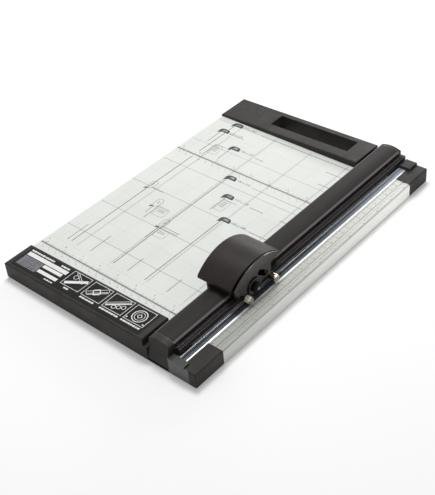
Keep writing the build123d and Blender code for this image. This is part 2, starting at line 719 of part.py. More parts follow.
def guide_rail():
    rail = extrude(rail_outline(FRONT_BLOCK, RAIL_Z, True), RAIL_Y1 - FRONT_BLOCK, dir=(0, 1, 0))
    rail = rounded_shoulders(rail)
    left, right = hollow_x()
    rail -= block(left, right, FRONT_BLOCK, RAIL_Y1, RAIL_Z + RAIL_WALL, SHOULDER_Z)
    rail -= grip_slot(0)
    rail -= [rod_z(x, y, POST_THREAD_R + RUN, RAIL_Z, SHOULDER_Z) for x, y in POSTS.values()]
    return rail


def grip_slot(play):
    middle = FLANGE_X - FLANGE_REACH / 2
    half = GRIP_WIDTH / 2 - play
    return block(middle - half, middle + half, FRONT_BLOCK, RAIL_Y1, RAIL_Z, RAIL_Z + GRIP_THICK)


def rail_grip_strip():
    return grip_slot(RUN)


def rail_tongue(end, y0, y1):
    left, right = hollow_x()
    tongue = block(left + SEAM, right - SEAM, y0, y1, RAIL_Z + RAIL_WALL + SEAM, SHOULDER_Z - SEAM)
    x, y = POSTS[end]
    return tongue - rod_z(x, y, POST_THREAD_R + RUN, RAIL_Z, RAIL_Z + POST_THREAD + SEAM)


def rail_front_block():
    lean_top = FRONT_LEAN * (RAIL_TOP - BLOCK_Z) / (SHOULDER_Z - BLOCK_Z)
    side = [(0, BLOCK_Z), (lean_top, RAIL_TOP), (FRONT_BLOCK, RAIL_TOP), (FRONT_BLOCK, BLOCK_Z)]
    full = extrude(rail_outline(0, BLOCK_Z, False), FRONT_BLOCK, dir=(0, 1, 0))
    body = rounded_shoulders(full) & prism_x(side, RAIL_X, RAIL_X1)
    front = body.faces().sort_by(Axis.Y)[0]
    body = fillet(front.edges(), RAIL_EDGE_R / 2)
    return body + rail_tongue("front", FRONT_BLOCK, FRONT_BLOCK + TONGUE)


def rail_rear_block():
    outline = [
        (RAIL_X1, RAIL_Z),
        (FLANGE_X, RAIL_Z),
        (FLANGE_X, FLANGE_TOP),
        (RAIL_X1, FLANGE_TOP),
    ]
    body = rounded_shoulders(extrude(rail_outline(RAIL_Y1, RAIL_Z, False), REAR_BLOCK, dir=(0, 1, 0)))
    body += prism_y(outline, RAIL_Y1, DEPTH)
    return body + rail_tongue("rear", RAIL_Y1 - TONGUE, RAIL_Y1)


def guide_post(end):
    """Shoulder bolt: its head stops the rail's lift, its shank guides it."""
    x, y = POSTS[end]
    head_top = SEAT_Z - SEAM
    post = rod_z(x, y, POST_HEAD_R, head_top - POST_HEAD, head_top)
    post += rod_z(x, y, POST_R, head_top, RAIL_Z)
    return post + rod_z(x, y, POST_THREAD_R, RAIL_Z, RAIL_Z + POST_THREAD)


def carriage_stops():
    front = FRONT_BLOCK + FREE
    rear = RAIL_Y1 - STOP_IN - STOP_LENGTH
    x0 = RAIL_X1 - TRACK_DEPTH
    stops = [block(x0, RAIL_X1, y, y + STOP_LENGTH, TRACK_Z, TRACK_TOP) for y in (front, rear)]
    return Compound(stops)


# Carriage

def slide_pads():
    play = PAD_PLAY
    pads = []
    for y in PAD_YS:
        for x0, x1 in (
            (LEFT_ARM_X + ARM / 3, RAIL_X + TRACK_DEPTH - FREE),
            (RAIL_X1 - TRACK_DEPTH + FREE, RIGHT_ARM_X1),
        ):
            pads.append(block(x0, x1, y, y + PAD_LENGTH, TRACK_Z + play, TRACK_TOP - play))
    return Compound(pads)


def blade_tower():
    """Table over the bridge that guides the blade unit's stem and carries its spring."""
    half = CARRIER_WIDTH / 2 + FREE
    x0 = STEM_X - STEM_HEAD_R - FREE - TOWER_WALL
    x1 = CARRIER_X + CARRIER / 4
    tower = block(x0, x1, BLADE_Y - half - TOWER_WALL, BLADE_Y + half + TOWER_WALL, BRIDGE_Z, ROOF_TOP)
    tower -= block(x0 + TOWER_WALL, x1, BLADE_Y - half, BLADE_Y + half, BRIDGE_TOP, ROOF_Z)
    tower -= block(RIGHT_ARM_X1, x1, BLADE_Y - half, BLADE_Y + half, BRIDGE_Z, BRIDGE_TOP)
    return tower - rod_z(STEM_X, BLADE_Y, STEM_R + RUN, BRIDGE_TOP, ROOF_TOP)


def carriage_body():
    deck_x0, deck_x1 = LEFT_ARM_X, RIGHT_ARM_X1
    body = block(deck_x0, deck_x1, BODY_Y, BODY_Y1, BRIDGE_Z, BRIDGE_TOP)
    body += block(deck_x0, LEFT_ARM_X1, BODY_Y, BODY_Y1, DECK_TOP + ARM_UP, BRIDGE_TOP)
    arm_z = FLANGE_TOP + ARM_GAP
    body += block(RIGHT_ARM_X, deck_x1, BODY_Y, BODY_Y1, arm_z, BRIDGE_TOP)
    side_z = max(FLANGE_TOP + FLANGE_RIB + 2 * ARM_GAP, ROLLER_Z + PIN_COLLAR_R + 2 * SEAM)
    for y in BULKHEAD_YS:
        body += block(RIGHT_ARM_X, CHEEK_X, y, y + BULKHEAD, side_z, BRIDGE_TOP)
    guide_y = CARRIER_WIDTH / 2 + FREE
    for y in (BLADE_Y - guide_y - BULKHEAD, BLADE_Y + guide_y):
        body += block(RIGHT_ARM_X, CARRIER_X1, y, y + BULKHEAD, side_z, BRIDGE_TOP)
    body += blade_tower() - block(0, RIGHT_ARM_X1, 0, DEPTH, 0, BRIDGE_Z)
    body += hinge_block()
    body -= slide_pads().solids()
    return body - rod_x(HINGE_Y, HINGE_Z, HINGE_R, 0, WIDTH) - cheek_screw_bores()


def hinge_block():
    x0, x1 = POST_X - HINGE_BLOCK / 2, POST_X + HINGE_BLOCK / 2
    post = block(x0, x1, HINGE_Y - EAR_R, HINGE_Y + EAR_R, BRIDGE_Z, HINGE_Z)
    return post + rod_x(HINGE_Y, HINGE_Z, EAR_R, x0, x1)


def cheek_lugs():
    """Where the cheek's two lugs sit, behind each bulkhead: their (y0, y1)."""
    front, rear = BULKHEAD_YS[0] + BULKHEAD, BULKHEAD_YS[1]
    return (front, front + LUG), (rear - LUG, rear)


def cheek_screw_z():
    return BRIDGE_TOP - LUG_HEIGHT / 2


def cheek_screw_x():
    return CHEEK_X - LUG / 2


def cheek_screw_bores():
    x, z = cheek_screw_x(), cheek_screw_z()
    return rod_y(x, z, CHEEK_SCREW_R + RUN, BODY_Y, BULKHEAD_YS[1] + BULKHEAD)


def carriage_screws():
    x, z = cheek_screw_x(), cheek_screw_z()
    head, reach = LUG / 2 - SEAM, BULKHEAD + LUG
    rear_y = BULKHEAD_YS[1] + BULKHEAD
    front = rod_y(x, z, head, BODY_Y - CHEEK_SCREW_R, BODY_Y)
    front += rod_y(x, z, CHEEK_SCREW_R, BODY_Y, BODY_Y + reach)
    rear = rod_y(x, z, head, rear_y, rear_y + CHEEK_SCREW_R)
    rear += rod_y(x, z, CHEEK_SCREW_R, rear_y - reach, rear_y)
    return Compound([front, rear])


def shell_z(offset, radius=SHELL_R):
    """Height of the handle's arc at a distance from its middle."""
    return SHELL_Z + math.sqrt(radius**2 - offset**2)


def cheek_outline():
    """Arched top like the handle's, a nose in front and a lower edge clear of the rollers."""
    x = CHEEK_X
    drop = PLUNGE / 2
    front_y, rear_y, tail_y = CARRIAGE_Y - CHEEK_FRONT, CARRIAGE_Y + CHEEK_REAR, CARRIAGE_Y + CHEEK_TAIL
    front_z, tail_z = shell_z(CHEEK_FRONT) - CHEEK_FALL, shell_z(CHEEK_TAIL) - drop
    crest = (x, CARRIAGE_Y, SHELL_TOP - CHEEK_FALL / 3)
    low_z = ROLLER_Z + CHEEK_LOW
    lower = Polyline(
        (x, front_y, front_z),
        (x, front_y, front_z - CHEEK_NOSE),
        (x, CARRIAGE_Y - CHEEK_CHIN, ROLLER_Z + CHEEK_CHIN_UP),
        (x, ROLLER_YS[0] - CHEEK_LOBE_R, low_z),
        (x, rear_y, low_z),
        (x, rear_y, ROLLER_Z + CHEEK_NECK),
        (x, tail_y, tail_z),
    )
    top = ThreePointArc((x, tail_y, tail_z), crest, (x, front_y, front_z))
    return make_face([lower, top])


def cheek_slot():
    """Leaning recess that ends above the rear roller."""
    low_y, low_z = ROLLER_YS[1] - ROLLER_R - CHEEK_SLOT_R, ROLLER_Z + CHEEK_LOW + CHEEK_SLOT_R + CHEEK
    lean, rise = CHEEK_SLOT_LEAN, ROLLER_Z + CHEEK_SLOT_TOP - low_z
    middle = (CHEEK_X, low_y - lean / 2, low_z + rise / 2)
    plane = Plane(origin=middle, x_dir=(0, -lean, rise), z_dir=(1, 0, 0))
    return extrude(plane * SlotCenterToCenter(math.hypot(lean, rise), 2 * CHEEK_SLOT_R), CHEEK)


def carriage_cheek():
    """Plate beside the rail that carries both roller pins."""
    x0, x1 = CHEEK_X, CHEEK_X1
    cheek = extrude(cheek_outline(), CHEEK, dir=(1, 0, 0))
    for y in ROLLER_YS:
        cheek += rod_x(y, ROLLER_Z, CHEEK_LOBE_R, x0, x1)
        cheek += block(x0, x1, y - CHEEK_LOBE_R, y + CHEEK_LOBE_R, ROLLER_Z, ROLLER_Z + CHEEK_LOW)
    cheek -= cheek_slot()
    for y0, y1 in cheek_lugs():
        cheek += block(x0 - LUG, x0, y0, y1, BRIDGE_TOP - LUG_HEIGHT, BRIDGE_TOP)
    cheek -= [rod_x(y, ROLLER_Z, PIN_R, x0, x1) for y in ROLLER_YS]
    half = KEY_WIDTH / 2 + FREE
    slot_low = AXLE_Z - KEY_HEIGHT / 2 - PLUNGE - FREE
    cheek -= block(x0, x1, BLADE_Y - half, BLADE_Y + half, slot_low, AXLE_Z + KEY_HEIGHT / 2 + FREE)
    return cheek - cheek_screw_bores()


def roller_pin(y):
    """Riveted pin: a collar behind the cheek and a head outside the roller."""
    pin = rod_x(y, ROLLER_Z, PIN_R, CHEEK_X, ROLLER_X1 + SEAM)
    pin += rod_x(y, ROLLER_Z, PIN_COLLAR_R, CHEEK_X - PIN_COLLAR, CHEEK_X)
    return pin + rod_x(y, ROLLER_Z, PIN_HEAD_R, ROLLER_X1 + SEAM, ROLLER_X1 + SEAM + PIN_HEAD)


def roller(y):
    wheel = rod_x(y, ROLLER_Z, ROLLER_R, ROLLER_X, ROLLER_X1)
    wheel = chamfer(wheel.edges().filter_by(GeomType.CIRCLE), ROLLER_CHAMFER)
    return wheel - rod_x(y, ROLLER_Z, PIN_R + RUN, ROLLER_X, ROLLER_X1)


def ear_spans():
    """Where the handle's two ears sit along X, one on each side of the hinge block."""
    gap = HINGE_BLOCK / 2 + FREE
    return (POST_X - gap - EAR, POST_X - gap), (POST_X + gap, POST_X + gap + EAR)


def handle_pin():
    (x0, _), (_, x1) = ear_spans()
    return rod_x(HINGE_Y, HINGE_Z, HINGE_R, x0 - PIN_HEAD, x1 + PIN_HEAD)


# Press handle

def handle_shell():
    """Arched cover with a roof, a full left wall and a recessed right wall under the roof's brow."""
    y0, y1 = CARRIAGE_Y - SHELL_HALF, CARRIAGE_Y + SHELL_HALF
    ends = block(SHELL_X, SHELL_X1, y0, y1, SHELL_Z, SHELL_TOP + SEAM)
    outer = rod_x(CARRIAGE_Y, SHELL_Z, SHELL_R, SHELL_X, SHELL_X1) & ends
    rims = outer.faces().filter_by(GeomType.CYLINDER)[0].edges()
    outer = fillet(rims, SHELL_EDGE_R)
    wall_x = SHELL_X1 - SHELL_BROW_OUT
    left, right = SHELL_X + SHELL_SIDE, wall_x - SHELL_SIDE
    inner_r = SHELL_R - SHELL_THICK
    shell = outer - rod_x(CARRIAGE_Y, SHELL_Z, inner_r, left, right)
    shell -= rod_x(CARRIAGE_Y, SHELL_Z, SHELL_R - SHELL_LIP, right, wall_x)
    shell -= rod_x(CARRIAGE_Y, SHELL_Z, SHELL_R - SHELL_BROW, wall_x, SHELL_X1)
    shell -= block(SHELL_X, SHELL_X1, y0, y1, SHELL_Z, shell_z(SHELL_HALF, inner_r))
    for x0, x1 in ear_spans():
        ear = block(x0, x1, HINGE_Y - EAR_R, HINGE_Y + EAR_R, HINGE_Z, SHELL_TOP)
        ear += rod_x(HINGE_Y, HINGE_Z, EAR_R, x0, x1)
        shell += ear & rod_x(CARRIAGE_Y, SHELL_Z, inner_r + SHELL_THICK / 2, x0, x1)
    return shell - rod_x(HINGE_Y, HINGE_Z, HINGE_R + RUN, ear_spans()[0][0], ear_spans()[1][1])


def handle_press_pad():
    x0, x1, y0, y1 = STEM_X - PUSH_HALF, STEM_X + PUSH_HALF, BLADE_Y - PUSH_HALF, BLADE_Y + PUSH_HALF
    pad = block(x0, x1, y0, y1, STEM_TOP + PUSH_GAP, SHELL_TOP)
    return pad & rod_x(CARRIAGE_Y, SHELL_Z, SHELL_R - SHELL_THICK, SHELL_X, SHELL_X1)


# Blade unit

def blade_carrier():
    half = CARRIER_WIDTH / 2
    low = AXLE_Z - CARRIER_DOWN
    carrier = block(CARRIER_X, CARRIER_X1, BLADE_Y - half, BLADE_Y + half, low, HEAD_TOP)
    carrier += block(STEM_X - STEM_HEAD_R, CARRIER_X, BLADE_Y - half, BLADE_Y + half, HEAD_Z, HEAD_TOP)
    carrier += rod_z(STEM_X, BLADE_Y, STEM_R, HEAD_TOP, STEM_HEAD_Z)
    carrier += rod_z(STEM_X, BLADE_Y, STEM_HEAD_R, STEM_HEAD_Z, STEM_TOP)
    return carrier - rod_x(BLADE_Y, AXLE_Z, AXLE_R, CARRIER_X, CARRIER_X1)


def blade_spring():
    return coil(STEM_X, BLADE_Y, ROOF_TOP, STEM_HEAD_Z, BLADE_SPRING_R, BLADE_WIRE_R, BLADE_SPRING_TURNS)


def blade_axle():
    return rod_x(BLADE_Y, AXLE_Z, AXLE_R, CARRIER_X, AXLE_X1)


def blade_backing():
    """Disc between cheek and blade, keyed through the cheek to the carrier."""
    backing = rod_x(BLADE_Y, AXLE_Z, BACKING_R, BACKING_X, BACKING_X + BACKING)
    half_y, half_z = KEY_WIDTH / 2, KEY_HEIGHT / 2
    backing += block(
        CARRIER_X1, BACKING_X, BLADE_Y - half_y, BLADE_Y + half_y, AXLE_Z - half_z, AXLE_Z + half_z
    )
    return backing - rod_x(BLADE_Y, AXLE_Z, AXLE_R, CARRIER_X1, BACKING_X + BACKING)


def axle_clip():
    ring = rod_x(BLADE_Y, AXLE_Z, CLIP_R, AXLE_CLIP_X, AXLE_CLIP_X + CLIP_THICK)
    return ring - rod_x(BLADE_Y, AXLE_Z, AXLE_R, AXLE_CLIP_X, AXLE_CLIP_X + CLIP_THICK)


def cutting_blade():
    blade = rod_x(BLADE_Y, AXLE_Z, BLADE_R, BLADE_X, BLADE_X1)
    blade = chamfer(blade.edges().filter_by(GeomType.CIRCLE), BLADE_THICK / 3, BLADE_THICK * 2)
    return blade - rod_x(BLADE_Y, AXLE_Z, HUB_BOSS_R, BLADE_X, BLADE_X1)


def blade_hub():
    hub = rod_x(BLADE_Y, AXLE_Z, HUB_R, BLADE_X1, HUB_X1)
    hub = fillet(hub.edges().filter_by(GeomType.CIRCLE).sort_by(Axis.X)[-1], HUB_THICK / 3)
    hub += rod_x(BLADE_Y, AXLE_Z, HUB_BOSS_R, RING_X, BLADE_X1)
    return hub - rod_x(BLADE_Y, AXLE_Z, AXLE_R + RUN, RING_X, HUB_X1)


def blade_ring():
    ring = rod_x(BLADE_Y, AXLE_Z, RING_R, RING_X, BLADE_X)
    return ring - rod_x(BLADE_Y, AXLE_Z, HUB_BOSS_R, RING_X, BLADE_X)


NODES = {
    "bottom_plate": bottom_plate(),
    "deck_panel": deck_panel(),
    "deck_sheet": deck_sheet(),
    "mat_channel": mat_channel(),
    "cutting_mat": cutting_mat(),
    "side_bed": side_bed(),
    "front_cap": front_cap(),
    "rear_cap": rear_cap(),
    "front_corner_cap": front_corner_cap(),
    "rear_corner_cap": rear_corner_cap(),
    "mat_front_clip": mat_front_clip(),
    "mat_rear_clamp": mat_rear_clamp(),
    "mat_clamp_screw": mat_clamp_screw(),
    "front_rail_socket": front_rail_socket(),
    "rear_rail_socket": rear_rail_socket(),
    "front_rail_spring": rail_spring("front"),
    "rear_rail_spring": rail_spring("rear"),
    "rubber_feet": rubber_feet(),
    "base_screws": base_screws(),
    "label_plate": label_plate(),
    "guide_rail": guide_rail(),
    "rail_grip_strip": rail_grip_strip(),
    "rail_front_block": rail_front_block(),
    "rail_rear_block": rail_rear_block(),
    "front_guide_post": guide_post("front"),
    "rear_guide_post": guide_post("rear"),
    "carriage_stops": carriage_stops(),
    "carriage_body": carriage_body(),
    "carriage_cheek": carriage_cheek(),
    "slide_pads": slide_pads(),
    "carriage_screws": carriage_screws(),
    "front_roller_pin": roller_pin(ROLLER_YS[0]),
    "rear_roller_pin": roller_pin(ROLLER_YS[1]),
    "handle_pin": handle_pin(),
    "front_roller": roller(ROLLER_YS[0]),
    "rear_roller": roller(ROLLER_YS[1]),
    "handle_shell": handle_shell(),
    "handle_press_pad": handle_press_pad(),
    "blade_carrier": blade_carrier(),
    "blade_spring": blade_spring(),
    "blade_axle": blade_axle(),
    "blade_backing": blade_backing(),
    "axle_clip": axle_clip(),
    "cutting_blade": cutting_blade(),
    "blade_hub": blade_hub(),
    "blade_ring": blade_ring(),
}

for name, shape in NODES.items():
    export_step(Pos(-WIDTH / 2, -DEPTH / 2, 0) * shape, f"parts/{name}.step")
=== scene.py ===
"""Finishes, printed bed and studio of a rotary card cutter.

Lengths are in metres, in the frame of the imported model: X to the cutting side, Y to the rear, Z up.
Places on the bed and on the label are given in millimetres from the front left corner of the footprint.
"""
import json
import math

import bpy
from mathutils import Euler, Matrix, Vector

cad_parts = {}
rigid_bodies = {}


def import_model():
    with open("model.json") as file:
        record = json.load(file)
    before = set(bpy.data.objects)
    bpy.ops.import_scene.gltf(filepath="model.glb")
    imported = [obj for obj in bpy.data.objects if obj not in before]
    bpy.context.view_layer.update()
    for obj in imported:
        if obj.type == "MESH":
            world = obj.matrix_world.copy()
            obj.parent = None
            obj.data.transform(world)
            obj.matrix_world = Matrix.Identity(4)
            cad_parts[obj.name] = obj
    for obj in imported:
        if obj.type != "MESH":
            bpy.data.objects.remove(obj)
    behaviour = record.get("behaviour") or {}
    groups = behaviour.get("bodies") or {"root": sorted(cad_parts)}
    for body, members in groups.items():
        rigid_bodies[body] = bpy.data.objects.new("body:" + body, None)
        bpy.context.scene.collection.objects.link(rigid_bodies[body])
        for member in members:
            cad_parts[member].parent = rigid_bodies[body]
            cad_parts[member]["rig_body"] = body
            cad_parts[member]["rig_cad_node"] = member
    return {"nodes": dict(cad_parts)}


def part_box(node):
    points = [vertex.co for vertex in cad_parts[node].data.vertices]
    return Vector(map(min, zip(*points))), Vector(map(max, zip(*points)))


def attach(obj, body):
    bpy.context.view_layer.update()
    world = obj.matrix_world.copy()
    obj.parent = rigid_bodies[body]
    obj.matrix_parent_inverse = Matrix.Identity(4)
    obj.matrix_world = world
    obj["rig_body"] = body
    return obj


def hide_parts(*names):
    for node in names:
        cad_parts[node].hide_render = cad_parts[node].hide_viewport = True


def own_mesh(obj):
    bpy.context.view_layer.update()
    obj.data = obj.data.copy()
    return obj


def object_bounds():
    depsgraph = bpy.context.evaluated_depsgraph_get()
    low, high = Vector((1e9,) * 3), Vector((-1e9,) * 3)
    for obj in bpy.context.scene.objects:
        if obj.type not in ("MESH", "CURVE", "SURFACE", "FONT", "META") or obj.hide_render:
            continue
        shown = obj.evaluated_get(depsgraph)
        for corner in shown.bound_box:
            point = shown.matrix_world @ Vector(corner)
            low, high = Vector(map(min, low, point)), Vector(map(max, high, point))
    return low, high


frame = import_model()
cad_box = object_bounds()

MM = 0.001
LEFT, FRONT = cad_box[0].x, cad_box[0].y

# Camera
CAMERA_AT = (0.57245, -0.6083, 0.6539)
CAMERA_AZIMUTH = 43.931
CAMERA_ELEVATION = 39.155
CAMERA_ROLL = -5.359
LENS = 72.07
SENSOR = 36.0
CLIP_START = 0.05

# Light: the lift is how much of its own white the floor shows, near the cutter and far from it
WHITE = 1.0
AMBIENT = 0.34
FLOOR_LIFT = 0.22
FAR_FLOOR_LIFT = 0.72
FAR_FROM, FAR_TO = 0.4, 2.2
FLOOR_SIZE = 60.0

# Meshes: widths in metres, angles in degrees
WELD = MM / 1000
FINE_WELD = MM / 5000
FLAT_ANGLE = 0.5
EDGE_ANGLE = 40.0
SMOOTH_ANGLE = EDGE_ANGLE / 1.3
COIL_ANGLE = 60.0

# Shapes, in millimetres and degrees
CAP_EDGE = 0.7
BLOCK_EDGE = 0.5
SHELL_RIM = 1.0
SHELL_GAP_ANGLE = 2.9
RAIL_HALF = 12.5
BED_SIDE_FROM, BED_SIDE_TO = 259.9, 260.3
ROLLER_BORE = 1.55
ROLLER_BAND = 240.6


# Modelling helpers

def select_only(*pieces):
    bpy.ops.object.select_all(action="DESELECT")
    for piece in pieces:
        piece.select_set(True)
    bpy.context.view_layer.objects.active = pieces[0]


def edit_all(piece):
    select_only(piece)
    bpy.ops.object.mode_set(mode="EDIT")
    bpy.ops.mesh.select_all(action="SELECT")


def leave_edit():
    bpy.ops.object.mode_set(mode="OBJECT")


def apply_place(piece):
    select_only(piece)
    bpy.ops.object.transform_apply(location=True, rotation=True, scale=True)


def apply_modifiers(piece):
    select_only(piece)
    for modifier in list(piece.modifiers):
        bpy.ops.object.modifier_apply(modifier=modifier.name)


def smooth(piece, angle):
    select_only(piece)
    bpy.ops.object.shade_smooth_by_angle(angle=math.radians(angle))


def face_outwards(piece):
    edit_all(piece)
    bpy.ops.mesh.normals_make_consistent(inside=False)
    leave_edit()


def clear_picks(piece, kind):
    """Gets a piece ready to have its vertices, edges or faces selected in code."""
    edit_all(piece)
    bpy.ops.mesh.select_mode(type=kind)
    bpy.ops.mesh.select_all(action="DESELECT")
    leave_edit()


def pick(piece, test):
    """Selects the vertices whose place passes a test and leaves the piece in edit mode."""
    clear_picks(piece, "VERT")
    for vertex in piece.data.vertices:
        vertex.select = test(vertex.co)
    bpy.ops.object.mode_set(mode="EDIT")


def pick_faces(piece, test):
    """Selects the faces that pass a test and leaves the piece in edit mode."""
    clear_picks(piece, "FACE")
    for face in piece.data.polygons:
        face.select = test(face)
    bpy.ops.object.mode_set(mode="EDIT")


def pick_edges(piece, test):
    """Selects the edges whose two ends pass a test and leaves the piece in edit mode."""
    clear_picks(piece, "EDGE")
    corners = piece.data.vertices
    for edge in piece.data.edges:
        edge.select = test(*(corners[index].co for index in edge.vertices))
    bpy.ops.object.mode_set(mode="EDIT")


def stand_for(piece, node_name):
    """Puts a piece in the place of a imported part, with its body."""
    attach(piece, frame["nodes"][node_name]["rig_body"])
    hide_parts(node_name)


def dress(piece, material):
    piece.data.materials.clear()
    piece.data.materials.append(material)


def paint(material, *node_names):
    """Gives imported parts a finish."""
    for name in node_names:
        for place in frame["nodes"][name].material_slots:
            place.material = material


def merged_copy(name, ending, material):
    """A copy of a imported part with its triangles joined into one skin."""
    select_only(frame["nodes"][name])
    bpy.ops.object.duplicate()
    piece = bpy.context.object
    piece.name = name + ending
    bpy.ops.object.parent_clear(type="CLEAR_KEEP_TRANSFORM")
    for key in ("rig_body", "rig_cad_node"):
        del piece[key]
    edit_all(piece)
    bpy.ops.mesh.customdata_custom_splitnormals_clear()
    bpy.ops.mesh.remove_doubles(threshold=WELD)
    leave_edit()
    dress(piece, material)
    stand_for(piece, name)
    return piece


def rounded_copy(name, width, material, segments=2, edge=None, shape=None):
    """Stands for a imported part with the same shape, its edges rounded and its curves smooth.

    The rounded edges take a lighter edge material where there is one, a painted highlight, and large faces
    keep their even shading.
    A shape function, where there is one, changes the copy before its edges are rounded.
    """
    piece = merged_copy(name, "_rounded", material)
    edit_all(piece)
    bpy.ops.mesh.dissolve_limited(angle_limit=math.radians(FLAT_ANGLE))
    leave_edit()
    if shape:
        shape(piece)
    bevel = piece.modifiers.new("edge", "BEVEL")
    if edge:
        piece.data.materials.append(edge)
        bevel.material = 1
    bevel.width = width * MM
    bevel.segments = segments
    bevel.limit_method = "ANGLE"
    bevel.angle_limit = math.radians(EDGE_ANGLE)
    apply_modifiers(piece)
    smooth(piece, SMOOTH_ANGLE)
    even = piece.modifiers.new("even", "WEIGHTED_NORMAL")
    even.keep_sharp = True
    apply_modifiers(piece)


def coil_spring(name):
    """Stands for a coil spring, with a mesh of its own."""
    piece = merged_copy(name, "_coiled", SPRING_STEEL)
    smooth(piece, COIL_ANGLE)
    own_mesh(piece)


def open_shell_gap(piece):
    """Draws the shell's right rim back in front of the crest, so that a dark gap widens downwards there."""
    low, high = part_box("handle_shell")
    crest = (low.y + high.y) / 2
    rim = high.x - SHELL_RIM * MM
    pick(piece, lambda place: place.x > rim and place.y < crest)
    bpy.ops.transform.rotate(
        value=math.radians(SHELL_GAP_ANGLE), orient_axis="Z", center_override=(high.x, crest, high.z)
    )
    leave_edit()


# Shader helpers

def colour(red, green, blue):
    """A linear colour from the 0 to 255 values that a screen shows."""
    def linear(value):
        share = value / 255
        return share / 12.92 if share <= 0.04045 else ((share + 0.055) / 1.055) ** 2.4
    return (linear(red), linear(green), linear(blue), 1.0)


def scaled(tone, factor):
    """A linear colour from a tone made lighter or darker, but no lighter than white."""
    return colour(*(min(255, value * factor) for value in tone))


def feed(tree, socket, value):
    """Sets a socket to a plain value, or links it to the output that feeds it."""
    if isinstance(value, bpy.types.NodeSocket):
        tree.links.new(value, socket)
    else:
        socket.default_value = value


def node(tree, kind, inputs=None, **settings):
    """Adds a shader node; an input is a plain value or the output that feeds it."""
    made = tree.nodes.new(kind)
    for key, value in settings.items():
        setattr(made, key, value)
    for key, value in (inputs or {}).items():
        feed(tree, made.inputs[key], value)
    return made


def maths(tree, operation, *values):
    return node(tree, "ShaderNodeMath", dict(enumerate(values)), operation=operation).outputs[0]


def noise(tree, place, scale, **inputs):
    """Cloudy noise; the scale is in clouds per metre."""
    return node(tree, "ShaderNodeTexNoise", {"Vector": place, "Scale": scale, **inputs}).outputs["Fac"]


def parts_of(tree, place):
    return node(tree, "ShaderNodeSeparateXYZ", {"Vector": place}).outputs


def spread(tree, value, low, high, from_low=0.0, from_high=1.0):
    """Maps a value to a range, whose ends may be values of their own."""
    ends = {"From Min": from_low, "From Max": from_high, "To Min": low, "To Max": high}
    return node(tree, "ShaderNodeMapRange", {"Value": value, **ends}).outputs["Result"]


def share_of(tree, value, low, high):
    """How far a value lies on its way from low to high, from 0 to 1."""
    return spread(tree, value, 0.0, 1.0, low, high)


def blend(tree, share, low, high):
    """Mixes two colours."""
    mix = node(tree, "ShaderNodeMix", {"Factor": share}, data_type="RGBA")
    for key, value in (("A", low), ("B", high)):
        sockets = (socket for socket in mix.inputs if socket.name == key and socket.type == "RGBA")
        feed(tree, next(sockets), value)
    return next(socket for socket in mix.outputs if socket.type == "RGBA")


def blank_material(name, shine=0.5, metallic=0.0):
    material = bpy.data.materials.new(name)
    material.use_nodes = True
    tree = material.node_tree
    shader = tree.nodes["Principled BSDF"]
    shader.inputs["Specular IOR Level"].default_value = shine
    shader.inputs["Metallic"].default_value = metallic
    place = node(tree, "ShaderNodeTexCoord").outputs["Object"]
    return material, tree, shader, place


def tint(tree, shader, share, low, high):
    """Colours a finish from low to high by a share."""
    tree.links.new(blend(tree, share, low, high), shader.inputs["Base Color"])


def vary(tree, shader, key, value, low, high, from_low=0.0, from_high=1.0):
    """Lets a value move one of the shader's sockets from low to high."""
    tree.links.new(spread(tree, value, low, high, from_low, from_high), shader.inputs[key])


def bump(tree, shader, height, depth):
    """Raises the surface by a height; the depth is in millimetres."""
    made = node(tree, "ShaderNodeBump", {"Height": height, "Distance": depth * MM})
    tree.links.new(made.outputs["Normal"], shader.inputs["Normal"])


def shader_group(name, inputs, outputs):
    """An empty shader group with float inputs after its vector, and float outputs."""
    group = bpy.data.node_groups.new(name, "ShaderNodeTree")
    group.interface.new_socket("Vector", in_out="INPUT", socket_type="NodeSocketVector")
    for label, value in inputs.items():
        socket = group.interface.new_socket(label, in_out="INPUT", socket_type="NodeSocketFloat")
        socket.default_value = value
    for label in outputs:
        group.interface.new_socket(label, in_out="OUTPUT", socket_type="NodeSocketFloat")
    return group, node(group, "NodeGroupInput").outputs, node(group, "NodeGroupOutput").inputs


def use_group(tree, group, **inputs):
    """Places a shader group with its own values, and gives its outputs."""
    return node(tree, "ShaderNodeGroup", inputs, node_tree=group).outputs


def grain_group():
    """Pebbled grain of a moulding: its height, and a slow cloud for gloss. Its size is in millimetres."""
    group, start, end = shader_group("moulded_grain", {"Size": 0.5}, ("Height", "Cloud"))
    per_metre = maths(group, "DIVIDE", 1 / MM, start["Size"])
    where = {"Vector": start["Vector"], "Scale": per_metre}
    pebbles = node(group, "ShaderNodeTexVoronoi", where, feature="SMOOTH_F1").outputs["Distance"]
    fine = noise(group, start["Vector"], per_metre, Detail=3.0)
    group.links.new(maths(group, "ADD", pebbles, fine), end["Height"])
    group.links.new(noise(group, start["Vector"], 28.0, Detail=4.0, Roughness=0.6), end["Cloud"])
    return group


def brushed_group():
    """Lines drawn along Y in extruded metal, and slow bands across them. The pitch is in millimetres."""
    group, start, end = shader_group("drawn_lines", {"Pitch": 0.25}, ("Streak", "Band"))
    per_metre = maths(group, "DIVIDE", 1 / MM, start["Pitch"])

    def drawn_out(along):
        scale = {0: start["Vector"], 1: (1.0, along, 1.0)}
        return node(group, "ShaderNodeVectorMath", scale, operation="MULTIPLY").outputs["Vector"]

    group.links.new(noise(group, drawn_out(0.012), per_metre, Detail=2.0), end["Streak"])
    group.links.new(noise(group, drawn_out(0.08), 90.0, Detail=3.0), end["Band"])
    return group


